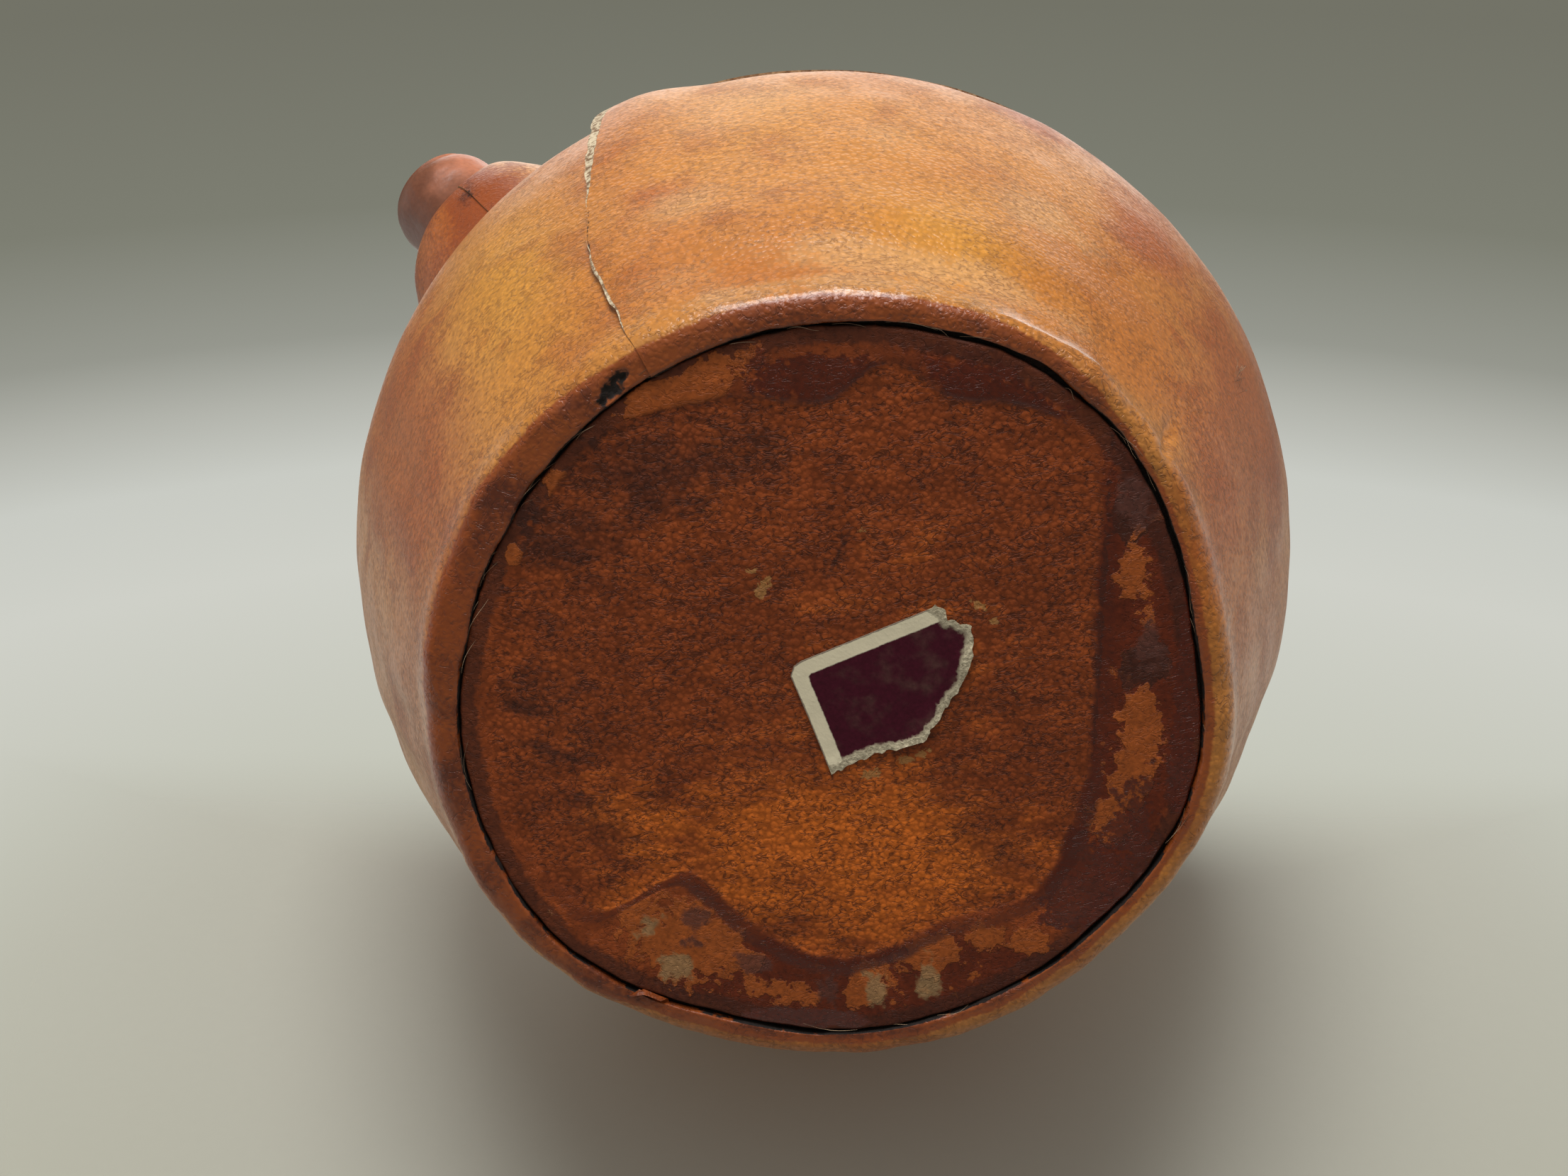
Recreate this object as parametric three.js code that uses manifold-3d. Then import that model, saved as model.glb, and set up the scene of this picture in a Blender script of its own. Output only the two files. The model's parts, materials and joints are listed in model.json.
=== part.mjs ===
// Leather-wrapped clay water jug: a globular clay vessel with a pouring spout, a filling mouth and a ring
// handle, dressed all over in glued leather, with a cork stopper in the mouth.
// Millimetres, +Z up. The origin is the middle of the base, the spout points to +X and the mouth to -X.
import * as THREE from "three";
import { mergeVertices } from "three/addons/utils/BufferGeometryUtils.js";
import Module from "manifold-3d";

// Body, measured on the outer face of its leather
const BELLY_RADIUS = 90;
const BELLY_HEIGHT = 87;
const DOME_HEIGHT = 78;
const BASE_RADIUS = 57.5;
const BASE_ROUND = 4;
const WALL_LEAN_DEG = 27;
const WALL_LOWER_PULL = 46;
const WALL_UPPER_PULL = 14;
const SHOULDER_SEAM_RISE = 9;

// Clay
const CLAY_WALL = 6;
const CLAY_FLOOR = 8;
const CLAY_INNER_ROUND = 14;

// Leather and glue
const WRAP_LEATHER = 2.2;
const SLEEVE_LEATHER = 1.6;
const LIP_LEATHER = 1.9;
const GLUE_GAP = 0.3;

// Overlapped side seam of the body wrap
const SIDE_SEAM_DEG = 22.7;
const SIDE_SEAM_LAP = 0.9;
const SIDE_SEAM_FADE_DEG = 16;
const SIDE_SEAM_LOW_HEIGHT = 24;
const SIDE_SEAM_BOW_DEG = 4;

// Hand-cut base disc and the paper label on it
const DISC_RADIUS = 53.2;
const DISC_LEATHER = 1.2;
const DISC_TWO_LOBES = 1.4;
const DISC_TWO_LOBES_DEG = 92;
const DISC_THREE_LOBES = 0.9;
const DISC_THREE_LOBES_DEG = 61;
const LABEL_THICKNESS = 0.3;
const LABEL_WIDTH = 26;
const LABEL_HEIGHT = 18;
const LABEL_CORNER_X = 7.2;
const LABEL_CORNER_Y = 0.9;
const LABEL_TURN_DEG = 118.7;

// Pouring spout, measured along its axis from the dome
const SPOUT_ELEVATION_DEG = 32;
const SPOUT_LENGTH = 36.5;
const SPOUT_TIP_RADIUS = 12.3;
const SPOUT_LIP_ROUND = 7.5;
const SPOUT_LIP_LENGTH = 21.5;
const SPOUT_ROOT_RADIUS = 26.5;
const SPOUT_KNEE_RADIUS = 21.5;
const SPOUT_KNEE_HEIGHT = 8;
const SPOUT_COLLAR_RADIUS = 16;
const SPOUT_BORE_RADIUS = 1.7;
const SPOUT_THROAT_RADIUS = 9;
const SPOUT_THROAT_END = 16;

// Filling mouth: its length follows from the spout's reach
const MOUTH_ELEVATION_DEG = 40;
const MOUTH_TIP_RADIUS = 22;
const MOUTH_LIP_ROUND = 4.5;
const MOUTH_LIP_LENGTH = 8;
const MOUTH_ROOT_RADIUS = 31;
const MOUTH_KNEE_HEIGHT = 8;
const MOUTH_BORE_RADIUS = 15.5;

// Both necks
const NECK_ROOT_DROP = 7;
const NECK_ROOT_DEPTH = 16;
const SLEEVE_OVERLAP = 2;
const LIP_HOLE_CLEARANCE = 0.4;

// Ring handle
const HANDLE_SPREAD = 33;
const HANDLE_CLEARANCE = 27;
const HANDLE_CLAY_RADIUS = 8.2;

// Cork stopper
const CORK_DEPTH = 15;
const CORK_FIT = 0.3;
const CORK_TAPER = 1.3;
const CORK_CHAMFER = 1;
const CAP_RADIUS = 19.5;
const CAP_THICKNESS = 6;
const CAP_ROUND = 2.4;

// Facets
const BODY_FACETS = 52;
const CLAY_FACETS = 28;
const NECK_FACETS = 24;
const DISC_FACETS = 52;
const BEAD_STEPS = 3;
const WALL_STEPS = 6;
const DOME_STEPS = 8;
const FLARE_STEPS = 4;
const ROUND_STEPS = 4;
const HIDDEN_ROUND_STEPS = 2;
const HANDLE_STEPS = 16;
const HANDLE_ARC_SEGMENTS = 6;
const MERGE_DISTANCE = 1e-3;

const wasm = await Module();
wasm.setup();
const rad = THREE.MathUtils.degToRad;
const v2 = (x, y) => new THREE.Vector2(x, y);

// A geometry as a solid: shared vertices are merged and the faces that collapsed on the axis are dropped.
function solid(geometry) {
  const bare = new THREE.BufferGeometry();
  bare.setAttribute("position", geometry.getAttribute("position").clone());
  if (geometry.index) bare.setIndex(geometry.index.clone());
  const merged = mergeVertices(bare, MERGE_DISTANCE);
  const faces = [];
  for (let i = 0; i < merged.index.count; i += 3) {
    const [a, b, c] = [0, 1, 2].map((k) => merged.index.getX(i + k));
    if (a !== b && b !== c && c !== a) faces.push(a, b, c);
  }
  return new wasm.Manifold(
    new wasm.Mesh({
      numProp: 3,
      vertProperties: new Float32Array(merged.getAttribute("position").array),
      triVerts: new Uint32Array(faces),
    }),
  );
}

function geometryOf(made) {
  const mesh = made.getMesh();
  const geometry = new THREE.BufferGeometry();
  geometry.setAttribute("position", new THREE.BufferAttribute(mesh.vertProperties, 3));
  geometry.setIndex(new THREE.BufferAttribute(mesh.triVerts, 1));
  return geometry.toNonIndexed();
}

// A profile of (radius, height) points turned about +Z.
function revolve(points, facets) {
  const onAxis = points.map((p) => v2(Math.max(p.x, 0), p.y));
  return new THREE.LatheGeometry(onAxis, facets).rotateX(Math.PI / 2);
}

// Points of a profile curve that runs upwards, moved towards the axis along its normal.
function inset(curve, depth, steps) {
  return Array.from({ length: steps + 1 }, (unused, i) => {
    const point = curve.getPoint(i / steps);
    const along = curve.getTangent(i / steps);
    return v2(point.x - depth * along.y, point.y + depth * along.x);
  });
}

const closed = (points) => [...points, points[0]];

// Profile of the leather's outer face: a bead round the base, the lower wall and the dome.
const lean = rad(WALL_LEAN_DEG);
const beadReach = BASE_ROUND * Math.tan((Math.PI / 2 - lean) / 2);
const wallFoot = v2(BASE_RADIUS + beadReach * Math.sin(lean), beadReach * Math.cos(lean));
const bead = new THREE.EllipseCurve(
  BASE_RADIUS - beadReach,
  BASE_ROUND,
  BASE_ROUND,
  BASE_ROUND,
  -Math.PI / 2,
  -lean,
);
const wall = new THREE.CubicBezierCurve(
  wallFoot,
  v2(wallFoot.x + WALL_LOWER_PULL * Math.sin(lean), wallFoot.y + WALL_LOWER_PULL * Math.cos(lean)),
  v2(BELLY_RADIUS, BELLY_HEIGHT - WALL_UPPER_PULL),
  v2(BELLY_RADIUS, BELLY_HEIGHT),
);
const seamAngle = Math.asin(SHOULDER_SEAM_RISE / DOME_HEIGHT);
const domeArc = (from, to) => new THREE.EllipseCurve(0, BELLY_HEIGHT, BELLY_RADIUS, DOME_HEIGHT, from, to);
const belly = domeArc(0, seamAngle);
const crown = domeArc(seamAngle, Math.PI / 2);
const domeTop = BELLY_HEIGHT + DOME_HEIGHT;
const clayInset = WRAP_LEATHER + GLUE_GAP;

// The profile at a depth, from the base plane up to the shoulder seam, and from there to the crown.
function lowerProfile(depth) {
  const foot = inset(bead, depth, BEAD_STEPS);
  return [...foot, ...inset(wall, depth, WALL_STEPS).slice(1), ...inset(belly, depth, 1).slice(1)];
}

function upperProfile(depth) {
  return inset(crown, depth, DOME_STEPS).slice(1);
}

// The solid inside the profile at a depth: what seats on the body is trimmed with it.
function envelope(depth, facets = BODY_FACETS) {
  const side = [...lowerProfile(depth), ...upperProfile(depth)];
  return solid(revolve([v2(0, side[0].y), ...side], facets));
}

// Neck frames: each neck stands square on the dome where the dome's normal has the neck's elevation.
function neckFrame(elevationDeg, towards) {
  const elevation = rad(elevationDeg);
  const angle = Math.atan((DOME_HEIGHT / BELLY_RADIUS) * Math.tan(elevation));
  const group = new THREE.Group();
  const rootX = BELLY_RADIUS * Math.cos(angle);
  group.position.set(towards * rootX, 0, BELLY_HEIGHT + DOME_HEIGHT * Math.sin(angle));
  group.rotation.y = towards * (Math.PI / 2 - elevation);
  group.updateMatrixWorld();
  return { group, elevation, rootX };
}

const spoutFrame = neckFrame(SPOUT_ELEVATION_DEG, 1);
const mouthFrame = neckFrame(MOUTH_ELEVATION_DEG, -1);

// How far a round-edged end of a neck reaches from the jug's axis.
function reach(frame, length, radius, round) {
  const centre = frame.rootX + (length - round) * Math.cos(frame.elevation);
  return centre + (radius - round) * Math.sin(frame.elevation) + round;
}

// The stopper's cap, seated on the mouth, reaches as far as the spout does.
const spoutReach = reach(spoutFrame, SPOUT_LENGTH, SPOUT_TIP_RADIUS, SPOUT_LIP_ROUND);
const capReachAtDome = reach(mouthFrame, 0, CAP_RADIUS, CAP_ROUND);
const capTop = (spoutReach - capReachAtDome) / Math.cos(mouthFrame.elevation);
const mouthLength = capTop - CAP_THICKNESS - GLUE_GAP;

const spout = {
  frame: spoutFrame,
  length: SPOUT_LENGTH,
  tipRadius: SPOUT_TIP_RADIUS,
  lipRound: SPOUT_LIP_ROUND,
  lipLength: SPOUT_LIP_LENGTH,
  rootRadius: SPOUT_ROOT_RADIUS,
  knee: v2(SPOUT_KNEE_RADIUS, SPOUT_KNEE_HEIGHT),
  collarRadius: SPOUT_COLLAR_RADIUS,
  bore: SPOUT_BORE_RADIUS,
  throat: SPOUT_THROAT_RADIUS,
  throatEnd: SPOUT_THROAT_END,
};
const mouth = {
  frame: mouthFrame,
  length: mouthLength,
  tipRadius: MOUTH_TIP_RADIUS,
  lipRound: MOUTH_LIP_ROUND,
  lipLength: MOUTH_LIP_LENGTH,
  rootRadius: MOUTH_ROOT_RADIUS,
  knee: v2(MOUTH_TIP_RADIUS, MOUTH_KNEE_HEIGHT),
  collarRadius: MOUTH_TIP_RADIUS,
  bore: MOUTH_BORE_RADIUS,
  throat: MOUTH_BORE_RADIUS,
  throatEnd: MOUTH_KNEE_HEIGHT,
};

// Flare of a neck's clay, from its root on the dome to the collar where the lip is let in.
function flare(neck) {
  return new THREE.QuadraticBezierCurve(
    v2(neck.rootRadius, -NECK_ROOT_DROP),
    neck.knee,
    v2(neck.collarRadius, neck.length - neck.lipLength - GLUE_GAP),
  );
}

// Quarter round at the end of a neck, from its side to its end face, at a depth under the lip's leather.
function endRound(neck, depth, steps) {
  const round = neck.lipRound - depth;
  const centre = v2(neck.tipRadius - neck.lipRound, neck.length - neck.lipRound);
  const arc = new THREE.EllipseCurve(centre.x, centre.y, round, round, 0, Math.PI / 2);
  return arc.getPoints(steps);
}

// Clay outline of a neck in (radius, height along its axis), widened by a clearance.
function clayOutline(neck, clearance) {
  const side = inset(flare(neck), -clearance, FLARE_STEPS);
  const rebate = endRound(neck, LIP_LEATHER + GLUE_GAP - clearance, HIDDEN_ROUND_STEPS);
  const shoulder = side[side.length - 1];
  return [v2(side[0].x, -NECK_ROOT_DEPTH), ...side, v2(rebate[0].x, shoulder.y), ...rebate];
}

function inFrame(geometry, frame) {
  return solid(geometry.applyMatrix4(frame.group.matrixWorld));
}

function neckBore(neck) {
  const cut = [
    v2(0, -2 * NECK_ROOT_DEPTH),
    v2(neck.throat, -2 * NECK_ROOT_DEPTH),
    v2(neck.throat, -NECK_ROOT_DROP),
    v2(neck.bore, neck.throatEnd),
    v2(neck.bore, neck.length + neck.lipRound),
    v2(0, neck.length + neck.lipRound),
  ];
  return inFrame(revolve(cut, NECK_FACETS), neck.frame);
}

function neckSolid(neck, clearance) {
  const outline = clayOutline(neck, clearance);
  const end = outline[outline.length - 1];
  return inFrame(revolve([v2(0, -NECK_ROOT_DEPTH), ...outline, v2(0, end.y)], NECK_FACETS), neck.frame);
}

// Thrown neck, luted to the clay body with its bore open.
function clayNeck(neck) {
  return neckSolid(neck, 0).subtract(neckBore(neck)).subtract(envelope(WRAP_LEATHER));
}

// Leather sleeve that follows the flare, closes over the collar onto the lip and spreads on the shoulder.
function sleeve(neck) {
  const inner = inset(flare(neck), -GLUE_GAP, FLARE_STEPS);
  const outer = inset(flare(neck), -GLUE_GAP - SLEEVE_LEATHER, FLARE_STEPS);
  const lipFoot = neck.length - neck.lipLength;
  const lipSide = neck.tipRadius + GLUE_GAP;
  const outline = [
    v2(outer[0].x, -NECK_ROOT_DEPTH),
    ...outer,
    v2(lipSide + SLEEVE_LEATHER, lipFoot + SLEEVE_OVERLAP),
    v2(lipSide, lipFoot + SLEEVE_OVERLAP),
    v2(lipSide, lipFoot),
    ...inner.toReversed(),
    v2(inner[0].x, -NECK_ROOT_DEPTH),
  ];
  return inFrame(revolve(closed(outline), NECK_FACETS), neck.frame).subtract(envelope(-GLUE_GAP));
}

// Moulded leather lip that caps the end of a neck round its bore.
function lip(neck) {
  const hole = neck.bore + LIP_HOLE_CLEARANCE;
  const outer = endRound(neck, 0, ROUND_STEPS);
  const inner = endRound(neck, LIP_LEATHER, HIDDEN_ROUND_STEPS);
  const bottom = neck.length - neck.lipLength;
  const outline = [
    v2(outer[0].x, bottom),
    ...outer,
    v2(hole, neck.length),
    v2(hole, neck.length - LIP_LEATHER),
    ...inner.toReversed(),
    v2(inner[0].x, bottom),
  ];
  return revolve(closed(outline), NECK_FACETS);
}

// Hollow clay vessel with a hole under each neck.
function clayBody() {
  const depth = clayInset + CLAY_WALL;
  const floor = clayInset + CLAY_FLOOR;
  const side = lowerProfile(depth).filter((p) => p.y > floor + CLAY_INNER_ROUND);
  const cornerX = side[0].x - (side[0].y - floor) * Math.tan(lean);
  const corner = new THREE.QuadraticBezierCurve(
    v2(cornerX - CLAY_INNER_ROUND, floor),
    v2(cornerX, floor),
    side[0],
  );
  const hollow = [v2(0, floor), ...corner.getPoints(ROUND_STEPS), ...side.slice(1), ...upperProfile(depth)];
  return envelope(clayInset, CLAY_FACETS)
    .subtract(solid(revolve(hollow, CLAY_FACETS)))
    .subtract(neckBore(spout))
    .subtract(neckBore(mouth));
}

// Radius of the base disc's hand-cut edge.
function discEdge(azimuth) {
  const two = DISC_TWO_LOBES * Math.cos(2 * (azimuth - rad(DISC_TWO_LOBES_DEG)));
  const three = DISC_THREE_LOBES * Math.cos(3 * (azimuth - rad(DISC_THREE_LOBES_DEG)));
  return DISC_RADIUS + two + three;
}

function discShape(clearance) {
  const points = Array.from({ length: DISC_FACETS }, (unused, i) => {
    const azimuth = (2 * Math.PI * i) / DISC_FACETS;
    const edge = discEdge(azimuth) + clearance;
    return v2(edge * Math.cos(azimuth), edge * Math.sin(azimuth));
  });
  return new THREE.Shape(points);
}

function plate(shape, bottom, thickness) {
  return new THREE.ExtrudeGeometry(shape, { depth: thickness, bevelEnabled: false }).translate(0, 0, bottom);
}

// Body wrap: one sheet from the hem under the base to the shoulder seam. Its outer end laps over its inner
// end at the side seam, and the lap fades round the body.
function bodyWrap() {
  const hemEdge = DISC_RADIUS - 2 * (DISC_TWO_LOBES + DISC_THREE_LOBES);
  const outer = lowerProfile(0);
  const inner = lowerProfile(WRAP_LEATHER);
  const outline = closed([v2(hemEdge, 0), ...outer, ...inner.toReversed(), v2(hemEdge, WRAP_LEATHER)]);
  const columns = outline.length;
  const lathe = revolve(outline, BODY_FACETS);
  const position = lathe.getAttribute("position");
  for (let i = 0; i < position.count; i++) {
    const row = i % columns;
    const past = ((i - row) / columns / BODY_FACETS) * 2 * Math.PI;
    const height = outline[row].y;
    const lifted = row > 0 && row <= outer.length ? SIDE_SEAM_LAP : 0;
    const fade = Math.max(0, 1 - past / rad(SIDE_SEAM_FADE_DEG));
    const grow = Math.min(1, height / SIDE_SEAM_LOW_HEIGHT);
    const radius = outline[row].x + lifted * fade * fade * grow;
    const bow = ((height - SIDE_SEAM_LOW_HEIGHT) / (BELLY_HEIGHT - SIDE_SEAM_LOW_HEIGHT)) ** 2;
    const azimuth = rad(SIDE_SEAM_DEG + SIDE_SEAM_BOW_DEG * bow) + past;
    position.setXY(i, radius * Math.cos(azimuth), radius * Math.sin(azimuth));
  }
  const faces = Array.from(lathe.index.array);
  const last = BODY_FACETS * columns;
  for (let row = 0; row < columns - 1; row++) {
    faces.push(last + row, row, last + row + 1, row, row + 1, last + row + 1);
  }
  lathe.setIndex(faces);
  const hemCut = plate(discShape(GLUE_GAP), -WRAP_LEATHER, 2 * WRAP_LEATHER + GLUE_GAP / 2);
  return solid(lathe).subtract(solid(hemCut));
}

// Shoulder panel: half of the dome's leather on one side of the spout, handle and mouth line.
function shoulderPanel(side, passes) {
  const arc = domeArc(seamAngle + GLUE_GAP / DOME_HEIGHT, Math.PI / 2);
  const outline = [...inset(arc, 0, DOME_STEPS), ...inset(arc, WRAP_LEATHER, DOME_STEPS).toReversed()];
  const width = 2 * BELLY_RADIUS;
  const half = new THREE.BoxGeometry(2 * width, width, 2 * domeTop);
  half.translate(0, side * (width / 2 + GLUE_GAP / 2), domeTop);
  const panel = solid(revolve(closed(outline), BODY_FACETS)).intersect(solid(half));
  return passes.reduce((left, pass) => left.subtract(pass), panel);
}

// Arch of the ring handle, from one foot inside the dome over the top to the other.
class HandleArch extends THREE.Curve {
  constructor(spread, footHeight, topHeight) {
    super();
    Object.assign(this, { spread, footHeight, topHeight });
  }

  getPoint(t) {
    const angle = Math.PI * (1 - t);
    const rise = this.topHeight - this.footHeight;
    return new THREE.Vector3(this.spread * Math.cos(angle), 0, this.footHeight + rise * Math.sin(angle));
  }
}

const handleSkin = HANDLE_CLAY_RADIUS + GLUE_GAP + SLEEVE_LEATHER;
const footShare = (HANDLE_SPREAD + handleSkin) / (BELLY_RADIUS - clayInset);
const footDome = BELLY_HEIGHT + (DOME_HEIGHT - clayInset) * Math.sqrt(1 - footShare ** 2);
const arch = new HandleArch(HANDLE_SPREAD, footDome - CLAY_WALL, domeTop + HANDLE_CLEARANCE + handleSkin);

function archTube(outerRadius, innerRadius) {
  const ring = new THREE.Shape().absarc(0, 0, outerRadius, 0, 2 * Math.PI);
  if (innerRadius) ring.holes.push(new THREE.Path().absarc(0, 0, innerRadius, 0, 2 * Math.PI));
  const settings = { steps: HANDLE_STEPS, curveSegments: HANDLE_ARC_SEGMENTS, extrudePath: arch };
  return solid(new THREE.ExtrudeGeometry(ring, { ...settings, bevelEnabled: false }));
}

// Torn paper label: two square corners are left, the far edge is ragged.
function labelShape() {
  const [w, h] = [LABEL_WIDTH, LABEL_HEIGHT];
  const torn = [
    [0, 0.08],
    [0.07, 0],
    [0.87, 0],
    [0.92, 0.07],
    [0.91, 0.16],
    [1, 0.27],
    [0.98, 0.42],
    [0.86, 0.67],
    [0.68, 0.86],
    [0.5, 1],
    [0.26, 0.97],
    [-0.04, 1],
  ];
  return new THREE.Shape(torn.map(([across, down]) => v2(across * w, down * h)));
}

// Cork plug, a sliding fit in the mouth's bore, and the leather-covered cap that seats on the lip.
function stopperCork() {
  const top = MOUTH_BORE_RADIUS - CORK_FIT;
  const bottom = top - CORK_TAPER;
  const low = mouth.length - CORK_DEPTH;
  const outline = [
    v2(0, low),
    v2(bottom - CORK_CHAMFER, low),
    v2(bottom, low + CORK_CHAMFER),
    v2(top, mouth.length),
    v2(0, mouth.length),
  ];
  return revolve(outline, NECK_FACETS);
}

function stopperCap() {
  const low = mouth.length + GLUE_GAP;
  const high = low + CAP_THICKNESS;
  const inner = CAP_RADIUS - CAP_ROUND;
  const lower = new THREE.EllipseCurve(inner, low + CAP_ROUND, CAP_ROUND, CAP_ROUND, -Math.PI / 2, 0);
  const upper = new THREE.EllipseCurve(inner, high - CAP_ROUND, CAP_ROUND, CAP_ROUND, 0, Math.PI / 2);
  const edge = [...lower.getPoints(ROUND_STEPS), ...upper.getPoints(ROUND_STEPS)];
  return revolve([v2(0, low), ...edge, v2(0, high)], NECK_FACETS);
}

const finishes = {
  clay: { color: 0xb5683f, roughness: 0.85, metalness: 0 },
  wrap: { color: 0xb9722f, roughness: 0.45, metalness: 0 },
  base: { color: 0x8a431c, roughness: 0.5, metalness: 0 },
  lip: { color: 0x4c2018, roughness: 0.35, metalness: 0 },
  cork: { color: 0xc29a68, roughness: 0.9, metalness: 0 },
  paper: { color: 0x5a2440, roughness: 0.7, metalness: 0 },
};

const jug = new THREE.Group();

function piece(name, geometry, finish, parent = jug) {
  const mesh = new THREE.Mesh(geometry, new THREE.MeshStandardMaterial(finishes[finish]));
  mesh.name = name;
  parent.add(mesh);
  return mesh;
}

const handleCore = archTube(HANDLE_CLAY_RADIUS);
const handlePass = archTube(HANDLE_CLAY_RADIUS + GLUE_GAP);
const passes = [neckSolid(spout, GLUE_GAP), neckSolid(mouth, GLUE_GAP), handlePass];

piece("clay_body", geometryOf(clayBody()), "clay");
piece("clay_spout", geometryOf(clayNeck(spout)), "clay");
piece("clay_mouth", geometryOf(clayNeck(mouth)), "clay");
piece("clay_handle", geometryOf(handleCore.subtract(envelope(WRAP_LEATHER))), "clay");
piece("body_wrap", geometryOf(bodyWrap()), "wrap");
piece("shoulder_panel_left", geometryOf(shoulderPanel(1, passes)), "wrap");
piece("shoulder_panel_right", geometryOf(shoulderPanel(-1, passes)), "wrap");
piece("base_disc", plate(discShape(0), WRAP_LEATHER - DISC_LEATHER, DISC_LEATHER), "base");
piece("spout_sleeve", geometryOf(sleeve(spout)), "wrap");
piece("mouth_sleeve", geometryOf(sleeve(mouth)), "wrap");
const handleWrap = archTube(handleSkin, HANDLE_CLAY_RADIUS + GLUE_GAP).subtract(envelope(-GLUE_GAP));
piece("handle_wrap", geometryOf(handleWrap), "wrap");

jug.add(spoutFrame.group, mouthFrame.group);
piece("spout_lip", lip(spout), "lip", spoutFrame.group);
piece("mouth_lip", lip(mouth), "lip", mouthFrame.group);
piece("stopper_cork", stopperCork(), "cork", mouthFrame.group);
piece("stopper_cap", stopperCap(), "wrap", mouthFrame.group);

const labelTop = WRAP_LEATHER - DISC_LEATHER - GLUE_GAP;
const label = piece("paper_label", plate(labelShape(), labelTop - LABEL_THICKNESS, LABEL_THICKNESS), "paper");
label.position.set(LABEL_CORNER_X, LABEL_CORNER_Y, 0);
label.rotation.z = rad(LABEL_TURN_DEG);

export default jug;
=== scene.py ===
"""Dressed look of a leather-wrapped clay water jug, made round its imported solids.

Meshes are in metres in the frame of the solids: +Z up, the spout towards +X, the base on z = 0. Sizes in
the classes are in millimetres and angles in degrees. The jug lies on a table with its base towards the
camera, so the stage is tilted against the jug.
"""

import json
import logging
import math
from dataclasses import dataclass, field
from enum import Enum
from functools import cached_property, reduce
from typing import Any, Sequence

import bmesh
import bpy
import numpy as np
from mathutils import Matrix, Vector
from mathutils.geometry import delaunay_2d_cdt


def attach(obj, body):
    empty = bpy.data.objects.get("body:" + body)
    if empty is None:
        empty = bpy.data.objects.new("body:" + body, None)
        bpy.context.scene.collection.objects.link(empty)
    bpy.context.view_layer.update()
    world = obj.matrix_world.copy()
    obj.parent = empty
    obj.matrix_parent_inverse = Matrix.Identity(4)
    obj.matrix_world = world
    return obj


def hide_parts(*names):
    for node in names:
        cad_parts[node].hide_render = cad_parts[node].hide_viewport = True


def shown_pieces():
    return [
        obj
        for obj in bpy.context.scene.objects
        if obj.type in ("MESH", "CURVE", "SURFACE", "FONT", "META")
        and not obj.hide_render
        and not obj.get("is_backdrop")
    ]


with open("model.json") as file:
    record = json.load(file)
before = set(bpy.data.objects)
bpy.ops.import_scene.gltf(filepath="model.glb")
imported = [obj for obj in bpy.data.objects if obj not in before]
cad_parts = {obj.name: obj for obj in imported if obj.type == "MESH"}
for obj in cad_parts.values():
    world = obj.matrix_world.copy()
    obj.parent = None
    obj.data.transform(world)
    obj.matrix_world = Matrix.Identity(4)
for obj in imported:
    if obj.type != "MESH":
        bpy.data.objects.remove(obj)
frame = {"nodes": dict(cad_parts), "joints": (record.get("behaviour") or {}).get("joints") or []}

MM = 0.001
TURN = 2 * math.pi
Array = np.ndarray
Triple = tuple[float, float, float]
Colour = Triple
Pairs = tuple[tuple[float, float], ...]
Material = bpy.types.Material
Mesh = bpy.types.Mesh
Piece = bpy.types.Object
log = logging.getLogger("jug")


class Body(Enum):
    """Moving bodies of the jug."""

    JUG = "jug"
    STOPPER = "stopper"


class Slot(Enum):
    """Material slots of the record."""

    CLAY = "clay"
    WRAP = "wrap_leather"
    BASE = "base_leather"
    LIP = "lip_leather"
    CORK = "cork"
    PAPER = "paper"


# Numbers and fields


class SmoothNoise:
    """Repeatable lattice noise that moves vertices."""

    def __init__(self, seed: int) -> None:
        """Draw the lattice.

        Args:
            seed: Which noise.
        """
        random = np.random.default_rng(seed)
        self.order = random.permutation(256)
        self.values = random.uniform(-1.0, 1.0, 256)

    def _corner(self, cell: Array) -> Array:
        """Look up lattice values.

        Args:
            cell: Whole-number cells, with three numbers in the last axis.

        Returns:
            A value from -1 to 1 for each cell.
        """
        first = self.order[cell[..., 0] & 255]
        second = self.order[(first + cell[..., 1]) & 255]
        return self.values[self.order[(second + cell[..., 2]) & 255]]

    def __call__(self, points: Array, size: float) -> Array:
        """Sample the noise.

        Args:
            points: Places, with three numbers in the last axis.
            size: Distance between lattice points.

        Returns:
            Values from -1 to 1, one for each place.
        """
        scaled = np.asarray(points) / size
        cell = np.floor(scaled).astype(int)
        part = scaled - cell
        rise = part * part * (3 - 2 * part)
        total = np.zeros(scaled.shape[:-1])
        for corner in np.ndindex(2, 2, 2):
            weight = np.prod(np.where(np.array(corner) == 1, rise, 1 - rise), axis=-1)
            total += weight * self._corner(cell + np.array(corner))
        return total


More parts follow.
